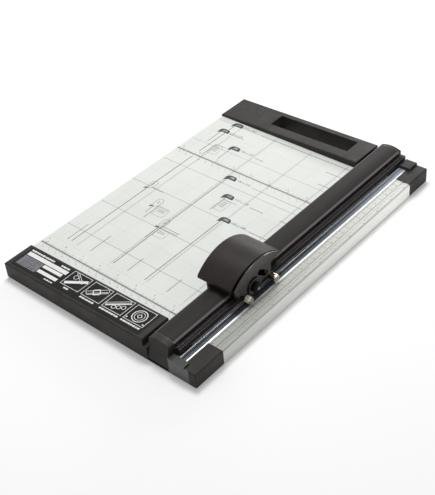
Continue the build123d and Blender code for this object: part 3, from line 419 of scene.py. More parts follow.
def handling_group():
    """Marks of use: soft smudges, and thin random scratches. The size of the smudges is in millimetres."""
    group, start, end = shader_group("handling", {"Size": 30.0}, ("Smudge", "Scratch"))
    per_metre = maths(group, "DIVIDE", 1 / MM, start["Size"])
    smudge = noise(group, start["Vector"], per_metre, Detail=5.0, Roughness=0.62, Distortion=0.8)
    skew = {"Vector": start["Vector"], "Rotation": (0.2, 0.3, 0.7), "Scale": (1.0, 0.03, 1.0)}
    skewed = node(group, "ShaderNodeMapping", skew).outputs["Vector"]
    lines = noise(group, skewed, 900.0, Detail=2.0, Distortion=0.4)
    group.links.new(smudge, end["Smudge"])
    group.links.new(share_of(group, lines, 0.68, 0.74), end["Scratch"])
    return group


GRAIN = grain_group()
BRUSHED = brushed_group()
HANDLING = handling_group()


# Finishes

METAL_PITCH = 0.25
METAL_SMUDGES = 40.0
METAL_LINE_DEPTH = 0.004
STEEL_SMUDGES = 5.0


def moulded(name, tone=46, warm=4, rough=0.45, size=0.45, depth=0.02, shine=0.12):
    """Grained moulding or paint with faint shine where it is handled."""
    material, tree, shader, place = blank_material(name, shine)
    grain = use_group(tree, GRAIN, Vector=place, Size=size)
    marks = use_group(tree, HANDLING, Vector=place, Size=26.0)
    light = tone * 1.35
    low, high = colour(tone, tone - warm / 2, tone - warm), colour(light, light - warm / 2, light - warm)
    tint(tree, shader, share_of(tree, marks["Smudge"], 0.3, 0.7), low, high)
    vary(tree, shader, "Roughness", grain["Cloud"], rough - 0.08, rough + 0.1, 0.3, 0.7)
    bump(tree, shader, grain["Height"], depth)
    return material


def semi_gloss_black(name, tone, rough, shine):
    """Smooth dark moulding with soft gloss that handling has dulled a little."""
    material, tree, shader, place = blank_material(name, shine)
    marks = use_group(tree, HANDLING, Vector=place, Size=18.0)
    grain = use_group(tree, GRAIN, Vector=place, Size=0.9)
    low, high = colour(tone, tone - 5, tone - 6), colour(tone * 1.3, tone * 1.16, tone * 1.12)
    tint(tree, shader, share_of(tree, marks["Smudge"], 0.3, 0.7), low, high)
    vary(tree, shader, "Roughness", marks["Smudge"], rough - 0.05, rough + 0.08)
    bump(tree, shader, grain["Height"], 0.006)
    return material


def drawn_metal(name, tone, rough, contrast, metallic=1.0):
    """Extruded metal with lines along its length."""
    material, tree, shader, place = blank_material(name, metallic=metallic)
    lines = use_group(tree, BRUSHED, Vector=place, Pitch=METAL_PITCH)
    marks = use_group(tree, HANDLING, Vector=place, Size=METAL_SMUDGES)
    share = share_of(tree, maths(tree, "ADD", lines["Streak"], lines["Band"]), 0.75, 1.25)
    tint(tree, shader, share, scaled(tone, 1 - contrast), scaled(tone, 1 + contrast))
    vary(tree, shader, "Roughness", marks["Smudge"], rough - 0.06, rough + 0.1, 0.2, 0.8)
    bump(tree, shader, lines["Streak"], METAL_LINE_DEPTH)
    return material


def rail_finish(name, tone, shoulder_highlight):
    """Black anodising with lines along the rail, and a painted highlight that lightens its two rounded
    shoulders.
    """
    low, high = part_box("guide_rail")
    material, tree, shader, place = blank_material(name, shine=0.1)
    lines = use_group(tree, BRUSHED, Vector=place, Pitch=METAL_PITCH)
    marks = use_group(tree, HANDLING, Vector=place, Size=METAL_SMUDGES)
    parts = parts_of(tree, place)
    base = blend(tree, share_of(tree, lines["Streak"], 0.3, 0.7), scaled(tone, 0.9), scaled(tone, 1.1))
    # Painted highlight: a band across X, near the top in Z, on both shoulders.
    away = maths(tree, "ABSOLUTE", maths(tree, "SUBTRACT", parts["X"], low.x + RAIL_HALF * MM))
    out = share_of(tree, away, (RAIL_HALF - 2.3) * MM, (RAIL_HALF - 1.0) * MM)
    up = share_of(tree, parts["Z"], high.z - 5.0 * MM, high.z - 3.6 * MM)
    tint(tree, shader, maths(tree, "MULTIPLY", out, up), base, colour(*shoulder_highlight))
    vary(tree, shader, "Roughness", marks["Smudge"], 0.4, 0.56)
    bump(tree, shader, lines["Streak"], METAL_LINE_DEPTH)
    return material


def bed_metal(name, top, side):
    """Satin ruler bed with a more metallic outer side; a painted reflection takes both from a lighter rear
    tone to a darker front tone, and painted light makes the outer side lighter than the top.
    """
    material, tree, shader, place = blank_material(name)
    lines = use_group(tree, BRUSHED, Vector=place, Pitch=0.5)
    marks = use_group(tree, HANDLING, Vector=place, Size=30.0)
    parts = parts_of(tree, place)
    # A painted reflection darkens the tones towards the front, and painted light lightens the outer side.
    along = share_of(tree, parts["Y"], -0.16, 0.12)
    outer = share_of(tree, parts["X"], LEFT + BED_SIDE_FROM * MM, LEFT + BED_SIDE_TO * MM)
    top_tone, side_tone = (blend(tree, along, colour(*near), colour(*far)) for near, far in (top, side))
    streaks = spread(tree, lines["Streak"], 0.88, 1.06, 0.3, 0.7)
    streaked = {0: blend(tree, outer, top_tone, side_tone), "Scale": streaks}
    tone = node(tree, "ShaderNodeVectorMath", streaked, operation="SCALE")
    tree.links.new(tone.outputs["Vector"], shader.inputs["Base Color"])
    vary(tree, shader, "Metallic", outer, 0.3, 0.9)
    vary(tree, shader, "Roughness", marks["Smudge"], 0.46, 0.58)
    bump(tree, shader, lines["Streak"], 0.003)
    return material


def turned_steel(name, tone, rough):
    """Turned steel with a few dull spots and faint scratches."""
    material, tree, shader, place = blank_material(name, metallic=1.0)
    marks = use_group(tree, HANDLING, Vector=place, Size=STEEL_SMUDGES)
    tint(tree, shader, share_of(tree, marks["Smudge"], 0.3, 0.7), scaled(tone, 0.8), colour(*tone))
    vary(tree, shader, "Roughness", marks["Smudge"], rough - 0.06, rough + 0.14)
    bump(tree, shader, marks["Scratch"], -0.004)
    return material


def banded_steel(name, dark, highlight_tone, edge):
    """Polished steel with a painted highlight: a brighter band at its outer end, from an edge in millimetres.
    """
    material, tree, shader, place = blank_material(name, metallic=1.0)
    marks = use_group(tree, HANDLING, Vector=place, Size=STEEL_SMUDGES)
    across = parts_of(tree, place)["X"]
    # Painted highlight: the band beyond the edge takes the brighter tone.
    band = share_of(tree, across, LEFT + (edge - 0.1) * MM, LEFT + (edge + 0.1) * MM)
    tint(tree, shader, band, colour(*dark), colour(*highlight_tone))
    vary(tree, shader, "Roughness", marks["Smudge"], 0.12, 0.3)
    return material


def printed_film(name, tone):
    """Matt printed film on the deck, very slightly cloudy."""
    material, tree, shader, place = blank_material(name)
    marks = use_group(tree, HANDLING, Vector=place, Size=60.0)
    grain = use_group(tree, GRAIN, Vector=place, Size=0.3)
    tint(tree, shader, share_of(tree, marks["Smudge"], 0.25, 0.75), scaled(tone, 0.975), scaled(tone, 1.015))
    vary(tree, shader, "Roughness", marks["Smudge"], 0.38, 0.5)
    bump(tree, shader, grain["Height"], 0.004)
    return material


def ink(name, tone):
    """Screen-printed ink, thinner here and there."""
    material, tree, shader, place = blank_material(name)
    fine = noise(tree, place, 1600.0, Detail=2.0)
    high = colour(*(value + 14 for value in tone))
    tint(tree, shader, share_of(tree, fine, 0.45, 0.75), colour(*tone), high)
    vary(tree, shader, "Roughness", fine, 0.4, 0.55)
    return material


def mat_plastic(name):
    """Glossy blue-grey strip with fine cuts along it, darkened towards the front and lightened towards the
    rear by a painted reflection.
    """
    material, tree, shader, place = blank_material(name)
    lines = use_group(tree, BRUSHED, Vector=place, Pitch=0.35)
    marks = use_group(tree, HANDLING, Vector=place, Size=14.0)
    share = share_of(tree, lines["Streak"], 0.35, 0.65)
    # Painted reflection: the strip goes from a dark tone at the front to a light tone at the rear.
    painted_dark_front = blend(tree, share, colour(56, 61, 68), colour(82, 87, 95))
    painted_light_rear = blend(tree, share, colour(146, 153, 168), colour(180, 186, 200))
    tint(tree, shader, share_of(tree, parts_of(tree, place)["Y"], 0.02, 0.2), painted_dark_front, painted_light_rear)
    vary(tree, shader, "Roughness", marks["Smudge"], 0.15, 0.35, 0.3, 0.7)
    bump(tree, shader, lines["Streak"], 0.01)
    return material


def smoky_clear(name):
    """Smoky translucent plastic, denser where it is seen edge on, and lighter there with a painted sheen."""
    material, tree, shader, place = blank_material(name)
    marks = use_group(tree, HANDLING, Vector=place, Size=8.0)
    facing = node(tree, "ShaderNodeLayerWeight", {"Blend": 0.3}).outputs["Facing"]
    # Painted sheen: the colour lightens where the plastic is seen edge on.
    tint(tree, shader, facing, colour(34, 36, 35), colour(98, 104, 98))
    vary(tree, shader, "Roughness", marks["Smudge"], 0.16, 0.34)
    vary(tree, shader, "Alpha", facing, 0.88, 1.0)
    return material


def soft_rubber(name):
    """Dull black rubber with a coarse grain."""
    material, tree, shader, place = blank_material(name)
    grain = use_group(tree, GRAIN, Vector=place, Size=0.7)
    tint(tree, shader, share_of(tree, grain["Cloud"], 0.3, 0.7), colour(30, 30, 30), colour(44, 43, 43))
    vary(tree, shader, "Roughness", grain["Cloud"], 0.7, 0.9)
    bump(tree, shader, grain["Height"], 0.03)
    return material


BLACK_MOULDING = moulded("black_moulding")
RAIL_END = moulded("rail_end_moulding", rough=0.36, size=0.6)
# A lighter material for the rounded edges of mouldings: a painted highlight.
EDGE_HIGHLIGHT = moulded("painted_edge_highlight", tone=92, rough=0.34, size=0.3, depth=0.004, shine=0.4)
CARRIAGE_MOULDING = moulded("carriage_moulding", tone=18, shine=0.1)
HANDLE = semi_gloss_black("handle_moulding", tone=38, rough=0.42, shine=0.14)
CHEEK = semi_gloss_black("cheek_moulding", tone=40, rough=0.26, shine=0.5)
HUB = semi_gloss_black("hub_moulding", tone=8, rough=0.4, shine=0.1)
# The second tone is the painted highlight on the rail's shoulders.
RAIL_BLACK = rail_finish("black_anodised", (46, 42, 42), (116, 110, 110))
# A lighter material for the rail's rounded edges: a painted highlight.
RAIL_EDGE_HIGHLIGHT = drawn_metal("rail_edge_highlight", (124, 120, 122), 0.3, contrast=0.12, metallic=0.6)
BRIGHT_ALUMINIUM = drawn_metal("bright_aluminium", (212, 214, 216), 0.45, contrast=0.03)
# Front tones are darkened by a painted reflection; side tones are lightened by painted light.
BED_ALUMINIUM = bed_metal(
    "bed_aluminium",
    top=((150, 152, 146), (208, 208, 203)),
    side=((196, 198, 193), (246, 246, 243)),
)
MILL_ALUMINIUM = drawn_metal("mill_aluminium", (190, 192, 192), 0.35, contrast=0.06)
PAINTED_STEEL = moulded("painted_steel", tone=30, warm=0, rough=0.4, size=0.8, depth=0.01)
ZINC_STEEL = turned_steel("zinc_steel", (196, 198, 200), 0.3)
BLACK_SCREW = turned_steel("black_screw", (46, 44, 43), 0.35)
SPRING_STEEL = turned_steel("spring_steel", (170, 170, 170), 0.28)
ROLLER_STEEL = turned_steel("roller_steel", (208, 200, 186), 0.16)
# The rear roller's bright outer band is a painted highlight on its end.
REAR_ROLLER = banded_steel("rear_roller_steel", (192, 180, 164), (246, 238, 234), ROLLER_BAND)
DARK_STEEL = turned_steel("dark_steel", (84, 82, 80), 0.26)
BLADE_STEEL = turned_steel("blade_steel", (74, 74, 78), 0.22)
ACETAL = moulded("natural_acetal", tone=190, warm=14, rough=0.35, size=1.0, depth=0.005)
FILM = printed_film("printed_film", (228, 231, 226))
LABEL_FILM = moulded("label_film", tone=20, warm=2, rough=0.38, size=0.3, depth=0.004)
MAT = mat_plastic("mat_plastic")
SMOKY = smoky_clear("smoky_plastic")
RUBBER = soft_rubber("foot_rubber")

paint(PAINTED_STEEL, "bottom_plate")
paint(MILL_ALUMINIUM, "deck_panel")
paint(FILM, "deck_sheet")
paint(MAT, "cutting_mat")
paint(ZINC_STEEL, "mat_clamp_screw", "base_screws", "handle_pin", "front_guide_post", "rear_guide_post")
paint(BLACK_SCREW, "carriage_screws")
paint(RUBBER, "rubber_feet", "rail_grip_strip")
paint(LABEL_FILM, "label_plate")
paint(BLACK_MOULDING, "front_rail_socket", "rear_rail_socket")
paint(CARRIAGE_MOULDING, "carriage_stops", "carriage_body", "handle_press_pad", "blade_carrier")
paint(ACETAL, "slide_pads")
paint(ROLLER_STEEL, "front_roller_pin", "rear_roller_pin", "blade_axle")
paint(DARK_STEEL, "blade_backing", "axle_clip", "blade_ring")
paint(BLADE_STEEL, "cutting_blade")
paint(HUB, "blade_hub")

# The caps, the rail and its end blocks take a painted highlight on their rounded edges.
for name in ("front_cap", "rear_cap", "front_corner_cap", "rear_corner_cap", "mat_rear_clamp"):
    rounded_copy(name, CAP_EDGE, BLACK_MOULDING, segments=3, edge=EDGE_HIGHLIGHT)
rounded_copy("mat_channel", 0.12, BRIGHT_ALUMINIUM)
rounded_copy("side_bed", 0.2, BED_ALUMINIUM)
rounded_copy("guide_rail", 0.35, RAIL_BLACK, edge=RAIL_EDGE_HIGHLIGHT)
for name in ("rail_front_block", "rail_rear_block"):
    rounded_copy(name, BLOCK_EDGE, RAIL_END, segments=3, edge=EDGE_HIGHLIGHT)
rounded_copy("handle_shell", 0.5, HANDLE, segments=3, shape=open_shell_gap)
rounded_copy("carriage_cheek", 1.0, CHEEK, segments=4)
rounded_copy("mat_front_clip", 0.2, SMOKY)
for name in ("front_rail_spring", "rear_rail_spring"):
    coil_spring(name)
coil_spring("blade_spring")


# Rollers

END_FACING = 0.9
PEAK_SHARE = 0.9
CHAMFER = 0.93
END_SHARE = 0.49
KNURLED = 0.1
KNURL_ANGLE, PLAIN_ANGLE = 20, 40


def roller(name, sides, rings, knurl, material):
    """Stands for a plain roller: a tube with chamfered ends, its rim pressed into small pyramids."""
    low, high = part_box(name)
    axis, length = (low + high) / 2, high.x - low.x
    bore = ROLLER_BORE * MM
    body = (high.z - low.z) / 2 - knurl * MM
    bpy.ops.mesh.primitive_cylinder_add(
        vertices=sides,
        radius=body,
        depth=length,
        end_fill_type="NGON",
        location=axis,
        rotation=(0, math.pi / 2, 0),
    )
    piece = bpy.context.object
    piece.name = name + "_turned"
    apply_place(piece)
    limit = (body + bore) / 2

    def reach(place):
        return math.hypot(place.y - axis.y, place.z - axis.z)

    def outside(place):
        return reach(place) > limit

    pick_faces(piece, lambda face: abs(face.normal.x) > END_FACING)
    bpy.ops.mesh.inset(thickness=body - bore, use_individual=True)
    bpy.ops.mesh.delete(type="FACE")
    leave_edit()
    pick_edges(piece, lambda a, b: reach(a) < limit and reach(b) < limit)
    bpy.ops.mesh.bridge_edge_loops()
    leave_edit()
    pick_edges(piece, lambda a, b: outside(a) and outside(b) and abs(a.x - b.x) > length / 2)
    bpy.ops.mesh.subdivide(number_cuts=rings)
    leave_edit()
    inner = length / 2 - length / (rings + 1)
    pick_faces(piece, lambda face: outside(face.center) and abs(face.center.x - axis.x) < inner)
    bpy.ops.mesh.poke(offset=knurl * MM * PEAK_SHARE)
    leave_edit()
    pick(piece, lambda place: outside(place) and abs(place.x - axis.x) > length * END_SHARE)
    bpy.ops.transform.resize(value=(1, CHAMFER, CHAMFER), center_override=axis)
    leave_edit()
    face_outwards(piece)
    smooth(piece, KNURL_ANGLE if knurl > KNURLED else PLAIN_ANGLE)
    dress(piece, material)
    stand_for(piece, name)


roller("front_roller", 32, 6, 0.4, ROLLER_STEEL)
roller("rear_roller", 48, 3, 0.03, REAR_ROLLER)


# Printed marks, in millimetres from the footprint's front left corner

DECK = 17.0
SHEET_LEFT, SHEET_RIGHT = 2.0, 199.0
GRID_FRONT, GRID_REAR = 66.0, 340.0
CUT_LINE = 237.0
INCH = 25.4
CENTIMETRE = 10.0
RULED_LINES = (48.8, 261.8)
RULED_HALF = 0.6
MAT_SCALE, OUTER_SCALE = 243.7, 254.3
SCALE_START, INCH_START = 40.6, 42.0

LABEL_X, LABEL_Y, LABEL_Z = 6.5, 18.3, 19.96
LABEL_TOP = LABEL_Z + 0.2
LABEL_SLOPE = math.atan2(4.8, 195.8)
PICTURES = (72.0, 101.7, 131.0, 160.0)
PICTURE_WIDTH = 25.8
PICTURE_Y0, PICTURE_Y1 = 11.6, 33.2


def spot(x, y, z=DECK):
    return Vector((LEFT + x * MM, FRONT + y * MM, z * MM))


def bar(x0, y0, x1, y1, z=DECK):
    """A flat bar between two corners."""
    bpy.ops.mesh.primitive_plane_add(size=1.0, location=spot((x0 + x1) / 2, (y0 + y1) / 2, z))
    made = bpy.context.object
    bpy.ops.transform.resize(value=((x1 - x0) * MM, (y1 - y0) * MM, 1))
    apply_place(made)
    return made


def line(x0, y0, x1, y1, width):
    """A flat bar on the deck, along a line that runs with X or with Y."""
    half = width / 2
    if x0 == x1:
        return bar(x0 - half, y0, x0 + half, y1)
    return bar(x0, y0 - half, x1, y0 + half)


def row(mark, count, dx, dy=0.0):
    """Repeats a mark along a row."""
    array = mark.modifiers.new("row", "ARRAY")
    array.use_relative_offset = False
    array.use_constant_offset = True
    array.constant_offset_displace = (dx * MM, dy * MM, 0)
    array.count = count
    apply_modifiers(mark)
    return mark


def rounded(piece, radius, test=None):
    """Rounds the corners of a flat bar, or those that pass a test."""
    pick(piece, test or (lambda place: True))
    bpy.ops.mesh.bevel(offset=radius * MM, segments=4, affect="VERTICES")
    leave_edit()
    return piece


def hollow(piece, width):
    """Leaves only the outline of a flat piece."""
    edit_all(piece)
    bpy.ops.mesh.select_mode(type="FACE")
    bpy.ops.mesh.select_all(action="SELECT")
    bpy.ops.mesh.inset(thickness=width * MM, use_boundary=True)
    bpy.ops.mesh.delete(type="FACE")
    leave_edit()
    return piece


def turn_about(piece, pivot, angle, axis):
    """Turns a piece about a place, by an angle in radians."""
    there = Matrix.Translation(pivot)
    piece.matrix_world = there @ Matrix.Rotation(angle, 4, axis) @ there.inverted()
    apply_place(piece)


def turned(piece, angle, x, y):
    """Turns a flat piece about a place, by an angle in degrees."""
    turn_about(piece, spot(x, y, 0), math.radians(angle), "Z")
    return piece


def disc(x, y, radius, sides=32):
    """A flat disc on the label."""
    place = spot(x, y, LABEL_TOP)
    bpy.ops.mesh.primitive_circle_add(vertices=sides, radius=radius * MM, fill_type="NGON", location=place)
    made = bpy.context.object
    apply_place(made)
    return made


def number(text, x, y, size, turn=0.0):
    """Plain figures, cut as a flat piece on the deck."""
    bpy.ops.object.text_add(location=spot(x, y), rotation=(0, 0, math.radians(turn)))
    made = bpy.context.object
    made.data.body = str(text)
    made.data.size = size * MM
    made.data.align_x = "CENTER"
    made.data.align_y = "CENTER"
    made.data.resolution_u = 2
    bpy.ops.object.convert(target="MESH")
    apply_place(made)
    return made


def pointer(x, y, width, height):
    """A wedge that hangs from its top edge and ends at its left side."""
    made = bar(x, y - height, x + width, y)
    middle = spot(x + width / 2, y - height / 2)
    pick(made, lambda place: place.x > middle.x and place.y < middle.y)
    bpy.ops.mesh.dissolve_verts()
    leave_edit()
    return made


def printed(name, marks, material, thickness, on_label=False):
    """Joins flat marks into one raised layer of ink that rides the base; a label's layer takes its slope."""
    select_only(*marks)
    bpy.ops.object.join()
    piece = bpy.context.object
    piece.name = name
    edit_all(piece)
    bpy.ops.mesh.remove_doubles(threshold=FINE_WELD)
    bpy.ops.mesh.extrude_region_move(TRANSFORM_OT_translate={"value": (0, 0, thickness * MM)})
    leave_edit()
    face_outwards(piece)
    if on_label:
        turn_about(piece, spot(LABEL_X, LABEL_Y, LABEL_Z), -LABEL_SLOPE, "Y")
    dress(piece, material)
    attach(piece, "base_unit")


def ruler(y, up):
    """Millimetre, half-centimetre and centimetre ticks on one side of a ruled line."""
    marks = []
    for pitch, length, width in ((1.0, 1.3, 0.14), (5.0, 2.2, 0.2), (CENTIMETRE, 3.2, 0.25)):
        first = CUT_LINE - pitch * math.floor((CUT_LINE - SHEET_LEFT) / pitch)
        count = int((SHEET_RIGHT - first) / pitch) + 1
        y0, y1 = sorted((y, y + up * length))
        marks.append(row(bar(first - width / 2, y0, first + width / 2, y1), count, pitch))
    return marks


def deck_grid():
    marks = [line(SHEET_LEFT, y, SHEET_RIGHT, y, 0.45) for y in (136.3, 186.3, 236.7, 287.2)]
    marks.append(line(SHEET_LEFT, 86.6, SHEET_RIGHT, 86.6, 0.6))
    for x in (38.0, 87.5, 137.2, 187.4):
        marks += [line(x + aside, GRID_FRONT, x + aside, GRID_REAR, 0.3) for aside in (-0.7, 0.7)]
    return marks


def deck_fine_grid():
    across = row(line(SHEET_LEFT, 61.7, SHEET_RIGHT, 61.7, 0.2), 12, 0, 25.05)
    along = row(line(13.0, 60.0, 13.0, GRID_REAR, 0.2), 8, 24.9)
    return [across, along]


def deck_rulers():
    """Two ruled lines with ticks on both sides, inch and centimetre figures, and a fine scale at the rear."""
    marks = [row(line(67.5, 334.9, 67.5, 336.3, 0.35), 131, 1.0)]
    marks.append(line(SHEET_LEFT, 335.6, SHEET_RIGHT, 335.6, 0.3))
    for y in RULED_LINES:
        marks.append(line(1.5, y, SHEET_RIGHT, y, 1.3))
        marks += ruler(y + RULED_HALF, 1) + ruler(y - RULED_HALF, -1)
    for k in range(2, 10):
        x = CUT_LINE - INCH * k
        marks += [line(x, y0, x, y0 + 5.0, 0.35) for y0 in (49.0, 262.0)]
        marks += [number(k, x - 2.6, y, 3.4) for y in (56.6, 267.6)]
    for k in range(4, 24):
        marks += [number(k, CUT_LINE - CENTIMETRE * k + 2.0, y, 2.4) for y in (43.6, 256.2)]
    return marks


# Size lines on the deck, from one end to the other
LONG_LINES = (
    (28.0, 67.5, 28.0, 256.3), (28.0, 270.0, 28.0, 333.0), (90.0, 67.5, 90.0, 247.0),
    (133.8, 67.5, 133.8, 184.0),
)
SHORT_LINES = (
    (22.0, 66.5, 22.0, 98.0), (22.0, 290.5, 22.0, 317.5), (35.0, 266.0, 35.0, 292.0),
    (55.8, 270.5, 55.8, 294.0), (56.5, 66.5, 56.5, 97.5), (110.0, 67.5, 110.0, 91.2),
    (163.8, 67.5, 163.8, 89.5), (111.3, 192.5, 111.3, 220.0), (57.0, 148.7, 57.0, 162.0),
    (62.0, 140.5, 62.0, 165.0), (87.3, 116.2, 87.3, 138.0),
    (33.0, 317.2, 55.5, 317.2), (90.5, 294.8, 102.5, 294.8), (145.0, 219.2, 162.5, 219.2),
    (32.5, 185.5, 48.8, 185.5), (88.8, 140.8, 113.8, 140.8), (88.8, 137.6, 113.8, 137.6),
    (172.5, 318.4, 199.0, 318.4), (178.8, 295.2, 199.0, 295.2), (185.0, 219.2, 199.0, 219.2),
)
THIN_LINES = (
    (125.0, 248.0, 199.0, 248.0), (169.5, 186.0, 199.0, 186.0), (61.0, 165.0, 78.0, 165.0),
    (111.0, 214.8, 130.0, 214.8), (35.0, 291.8, 51.0, 291.8),
)
# Place of a tab, and the width and length of the sheet that it stands for
TABS = (
    (24.3, 337.5, 210, 297), (18.2, 319.5, 216, 279), (52.8, 297.1, 182, 257),
    (86.8, 249.7, 148, 210), (106.8, 221.3, 127, 178), (130.3, 187.7, 105, 148),
)
# Corner of a pill, and its figure
PILLS = ((25.0, 182.6, 1), (53.3, 161.4, 2), (83.8, 138.2, 3))
# Corner, width and height of a sketched card
CARDS = (
    (36.0, 273.5, 12.0, 17.5), (64.0, 150.2, 15.0, 13.5), (89.5, 124.0, 15.0, 12.5),
    (112.8, 195.5, 11.5, 18.5),
)


def deck_marks():
    kinds = ((LONG_LINES, 0.8), (SHORT_LINES, 0.6), (THIN_LINES, 0.4))
    return [line(*ends, width) for lines, width in kinds for ends in lines]


def deck_tabs():
    """Black tabs with a rounded top and a wedge that points at a size line, and pointers of the pills."""
    marks = []
    for x, y, _, _ in TABS:
        tab = bar(x, y - 3.4, x + 14.0, y + 3.6)
        marks.append(rounded(tab, 4.6, lambda place: place.y > spot(0, y).y))
        marks.append(pointer(x, y - 3.3, 4.6, 3.6))
    return marks + [pointer(x - 0.6, y + 0.4, 4.4, 3.8) for x, y, _ in PILLS]


def deck_outlines():
    """Pill frames with their figures, and small sketches of a card."""
    marks = []
    for x, y, figure in PILLS:
        marks.append(hollow(rounded(bar(x, y, x + 8.2, y + 14.6), 3.9), 0.45))
        marks.append(number(figure, x + 4.1, y + 8.0, 6.0))
    for x, y, width, height in CARDS:
        card = bar(x, y, x + width, y + height)
        marks.append(hollow(rounded(card, 3.4, lambda place: place.x > spot(x + 1, 0).x), 0.35))
        lines = line(x + 1.8, y + height - 3.2, x + width - 3.5, y + height - 3.2, 0.7)
        marks.append(row(lines, int(height / 3.4) - 1, 0, -2.6))
    return marks


def deck_figures():
    """Sheet sizes beside the tabs."""
    return [number(f"{width} x {length}", x + 24.5, y, 4.6) for x, y, width, length in TABS]


def tab_figures():
    """Sheet widths on the tabs."""
    return [number(width, x + 7.3, y + 0.2, 4.4) for x, y, width, _ in TABS]


def scale(x, start, reach, ticks):
    """Ticks along the cut, from a start and over a reach; each kind has a pitch, a length and a width."""
    marks = []
    for pitch, length, width in ticks:
        tick = bar(x, start - width / 2, x + length, start + width / 2)
        marks.append(row(tick, int(reach / pitch) + 1, 0, pitch))
    return marks


def bed_marks():
    """Scale along the cut: millimetres beside the mat, inches at the outer side."""
    metric = ((1.0, 1.6, 0.26), (5.0, 2.6, 0.3), (CENTIMETRE, 3.4, 0.36))
    inches = ((INCH / 16, 0.9, 0.26), (INCH / 4, 1.5, 0.3), (INCH, 2.4, 0.36))
    marks = scale(MAT_SCALE, SCALE_START, 308, metric) + scale(OUTER_SCALE, INCH_START, 300, inches)
    marks += [number(k, 249.5, SCALE_START + CENTIMETRE * k, 2.4, turn=90) for k in range(1, 31)]
    marks += [number(k, 258.0, 37.1 + INCH * k, 2.7, turn=90) for k in range(1, 13)]
    return marks


def label_bar(x0, y0, x1, y1):
    return bar(x0, y0, x1, y1, LABEL_TOP)


def caption(x0, x1, y=8.8, height=2.0):
    """A row of short bars in place of words."""
    lengths = (2.4, 3.3, 1.7, 2.9)
    marks, x, step = [], x0, 0
    while x + lengths[step % 4] <= x1:
        marks.append(label_bar(x, y - height / 2, x + lengths[step % 4], y + height / 2))
        x += lengths[step % 4] + 0.6
        step += 1
    return marks


def pictograms():
    """Four framed pictures in plain shapes: bars, strips and discs."""
    marks = [hollow(label_bar(x, PICTURE_Y0, x + PICTURE_WIDTH, PICTURE_Y1), 0.6) for x in PICTURES]
    first, second, third, fourth = (x + PICTURE_WIDTH / 2 for x in PICTURES)
    x = first
    marks.append(turned(label_bar(x - 12.4, 19.0, x + 12.4, 22.8), 32, x, 22.4))
    marks.append(turned(hollow(label_bar(x - 9.0, 26.2, x + 9.0, 28.6), 0.5), -32, x, 27.4))
    marks.append(hollow(disc(x - 4.5, 26.4, 3.0), 0.6))
    x = second
    marks.append(turned(hollow(label_bar(x - 12.0, 22.0, x + 12.0, 26.0), 0.6), 38, x, 23.0))
    marks.append(turned(label_bar(x - 11.0, 20.2, x + 11.0, 21.0), 38, x, 23.0))
    marks.append(turned(hollow(rounded(label_bar(x - 5.0, 19.0, x + 3.0, 27.0), 1.5), 1.1), 38, x, 23.0))
    x = third
    marks.append(turned(label_bar(x - 13.2, 21.4, x + 13.2, 22.8), 36, x, 22.4))
    marks.append(turned(hollow(label_bar(x - 12.8, 23.4, x + 12.8, 25.8), 0.5), 36, x, 22.4))
    marks += [hollow(disc(x + 1.5 + step, 18.5 + step / 2, 2.6), 0.7) for step in (-3.0, 1.6, 6.2)]
    x = fourth
    marks.append(hollow(disc(x, 21.8, 8.2, 48), 1.0))
    marks.append(hollow(disc(x, 21.8, 5.6, 40), 0.6))
    marks.append(turned(hollow(label_bar(x - 2.2, 19.6, x + 2.2, 24.0), 0.7), 45, x, 21.8))
    marks.append(label_bar(x - 11.6, 14.0, x - 9.6, 15.4))
    marks.append(label_bar(x + 9.6, 14.0, x + 11.6, 15.4))
    return marks


def label_white():
    """Plain panels, captions and pictograms."""
    panels = ((9.5, 22.6, 68.3, 27.9), (38.7, 17.4, 66.0, 21.6), (38.7, 9.7, 67.0, 14.0))
    marks = [label_bar(*corners) for corners in panels]
    marks += caption(9.5, 44.5, 30.6, 2.2) + caption(54.0, 68.4, 30.6, 2.2) + caption(54.0, 67.0, 6.4, 1.5)
    for x0, x1 in ((80.5, 87.2), (103.7, 124.3), (131.2, 156.4), (160.0, 186.8)):
        marks += caption(x0, x1)
    return marks + pictograms()


def label_grey():
    """A shaded panel: fine lines with three bars over them."""
    marks = [row(label_bar(9.5, 20.6, 37.5, 21.4), 12, 0, -1.2)]
    return marks + [label_bar(13.0, 18.2 - drop, 34.0, 20.0 - drop) for drop in (0.0, 4.8, 9.6)]


INK_FAINT = ink("faint_ink", (146, 149, 146))
INK_PALE = ink("pale_ink", (190, 193, 189))
INK_GREY = ink("grey_ink", (94, 96, 94))
INK_DARK = ink("dark_ink", (46, 48, 48))
INK_BED = ink("bed_ink", (34, 34, 34))
INK_BLACK = ink("black_ink", (34, 34, 35))
INK_WHITE = ink("white_ink", (232, 233, 231))
INK_SILVER = ink("silver_ink", (136, 136, 142))

# Each layer of ink on the deck is a little thicker than the one it crosses
printed("deck_fine_grid", deck_fine_grid(), INK_PALE, 0.010)
printed("deck_grid", deck_grid(), INK_FAINT, 0.014)
printed("deck_rulers", deck_rulers(), INK_GREY, 0.018)
printed("deck_outlines", deck_outlines() + deck_figures(), INK_GREY, 0.021)
printed("deck_marks", deck_marks(), INK_DARK, 0.024)
printed("deck_tabs", deck_tabs(), INK_BLACK, 0.028)
printed("tab_figures", tab_figures(), INK_WHITE, 0.034)
printed("bed_marks", bed_marks(), INK_BED, 0.02)
printed("label_white", label_white(), INK_WHITE, 0.02, on_label=True)
printed("label_grey", label_grey(), INK_SILVER, 0.02, on_label=True)


# Studio

def looked_at(tree):
    """One where a ray comes from the camera, a reflection or a see-through piece, and zero elsewhere."""
    path = node(tree, "ShaderNodeLightPath").outputs
    direct = maths(tree, "MAXIMUM", path["Is Camera Ray"], path["Is Glossy Ray"])
    return maths(tree, "MAXIMUM", direct, path["Is Transmission Ray"])


def studio_world():
    """White to look at and to reflect, and a plain soft light on everything else."""
    world = bpy.data.worlds.new("studio")
    world.use_nodes = True
    bpy.context.scene.world = world
    tree = world.node_tree
    background = tree.nodes["Background"]
    background.inputs["Color"].default_value = (1, 1, 1, 1)
    tree.links.new(spread(tree, looked_at(tree), AMBIENT, WHITE), background.inputs["Strength"])


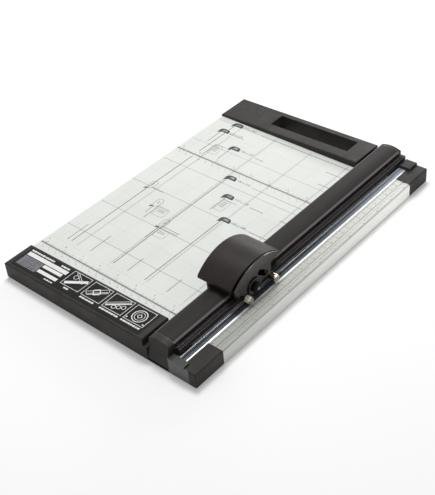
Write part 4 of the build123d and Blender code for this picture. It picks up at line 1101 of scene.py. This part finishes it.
def studio_floor():
    """Pale paper that brightens away from the cutter, so that no horizon shows."""
    bpy.ops.mesh.primitive_plane_add(size=FLOOR_SIZE, location=(0, 0, 0))
    floor = bpy.context.object
    floor.name = "floor"
    edit_all(floor)
    bpy.ops.mesh.subdivide(number_cuts=3)
    leave_edit()
    material, tree, shader, place = blank_material("floor_paper", shine=0.0)
    tint(tree, shader, noise(tree, place, 3.0), colour(240, 240, 240), colour(243, 243, 243))
    shader.inputs["Roughness"].default_value = 0.9
    reach = node(tree, "ShaderNodeVectorMath", {0: place}, operation="LENGTH").outputs["Value"]
    far_lift = spread(tree, reach, FLOOR_LIFT, FAR_FLOOR_LIFT, FAR_FROM, FAR_TO)
    shader.inputs["Emission Color"].default_value = (1, 1, 1, 1)
    vary(tree, shader, "Emission Strength", looked_at(tree), 0.0, far_lift)
    dress(floor, material)


def soft_box(name, place, aim, size, power):
    data = bpy.data.lights.new(name, "AREA")
    data.shape = "RECTANGLE"
    data.size, data.size_y = size
    data.energy = power
    lamp = bpy.data.objects.new(name, data)
    bpy.context.scene.collection.objects.link(lamp)
    lamp.location = place
    lamp.rotation_euler = (Vector(aim) - Vector(place)).to_track_quat("-Z", "Y").to_euler()


def camera():
    data = bpy.data.cameras.new("camera")
    data.lens = LENS
    data.sensor_width = SENSOR
    data.clip_start = CLIP_START
    made = bpy.data.objects.new("camera", data)
    bpy.context.scene.collection.objects.link(made)
    tilt, pan = math.radians(90 - CAMERA_ELEVATION), math.radians(CAMERA_AZIMUTH)
    aim = Euler((tilt, 0, pan), "XYZ").to_matrix()
    roll = Euler((0, 0, math.radians(CAMERA_ROLL)), "XYZ").to_matrix()
    made.location = CAMERA_AT
    made.rotation_euler = (aim @ roll).to_euler()
    bpy.context.scene.camera = made


studio_world()
studio_floor()
soft_box("key", (-0.3, 0.25, 1.5), (0, 0, 0), (0.5, 0.5), 14)
soft_box("rear", (-0.5, 1.4, 0.5), (0, 0.1, 0), (0.8, 0.4), 6)
camera()
bpy.context.scene.view_settings.view_transform = "Standard"
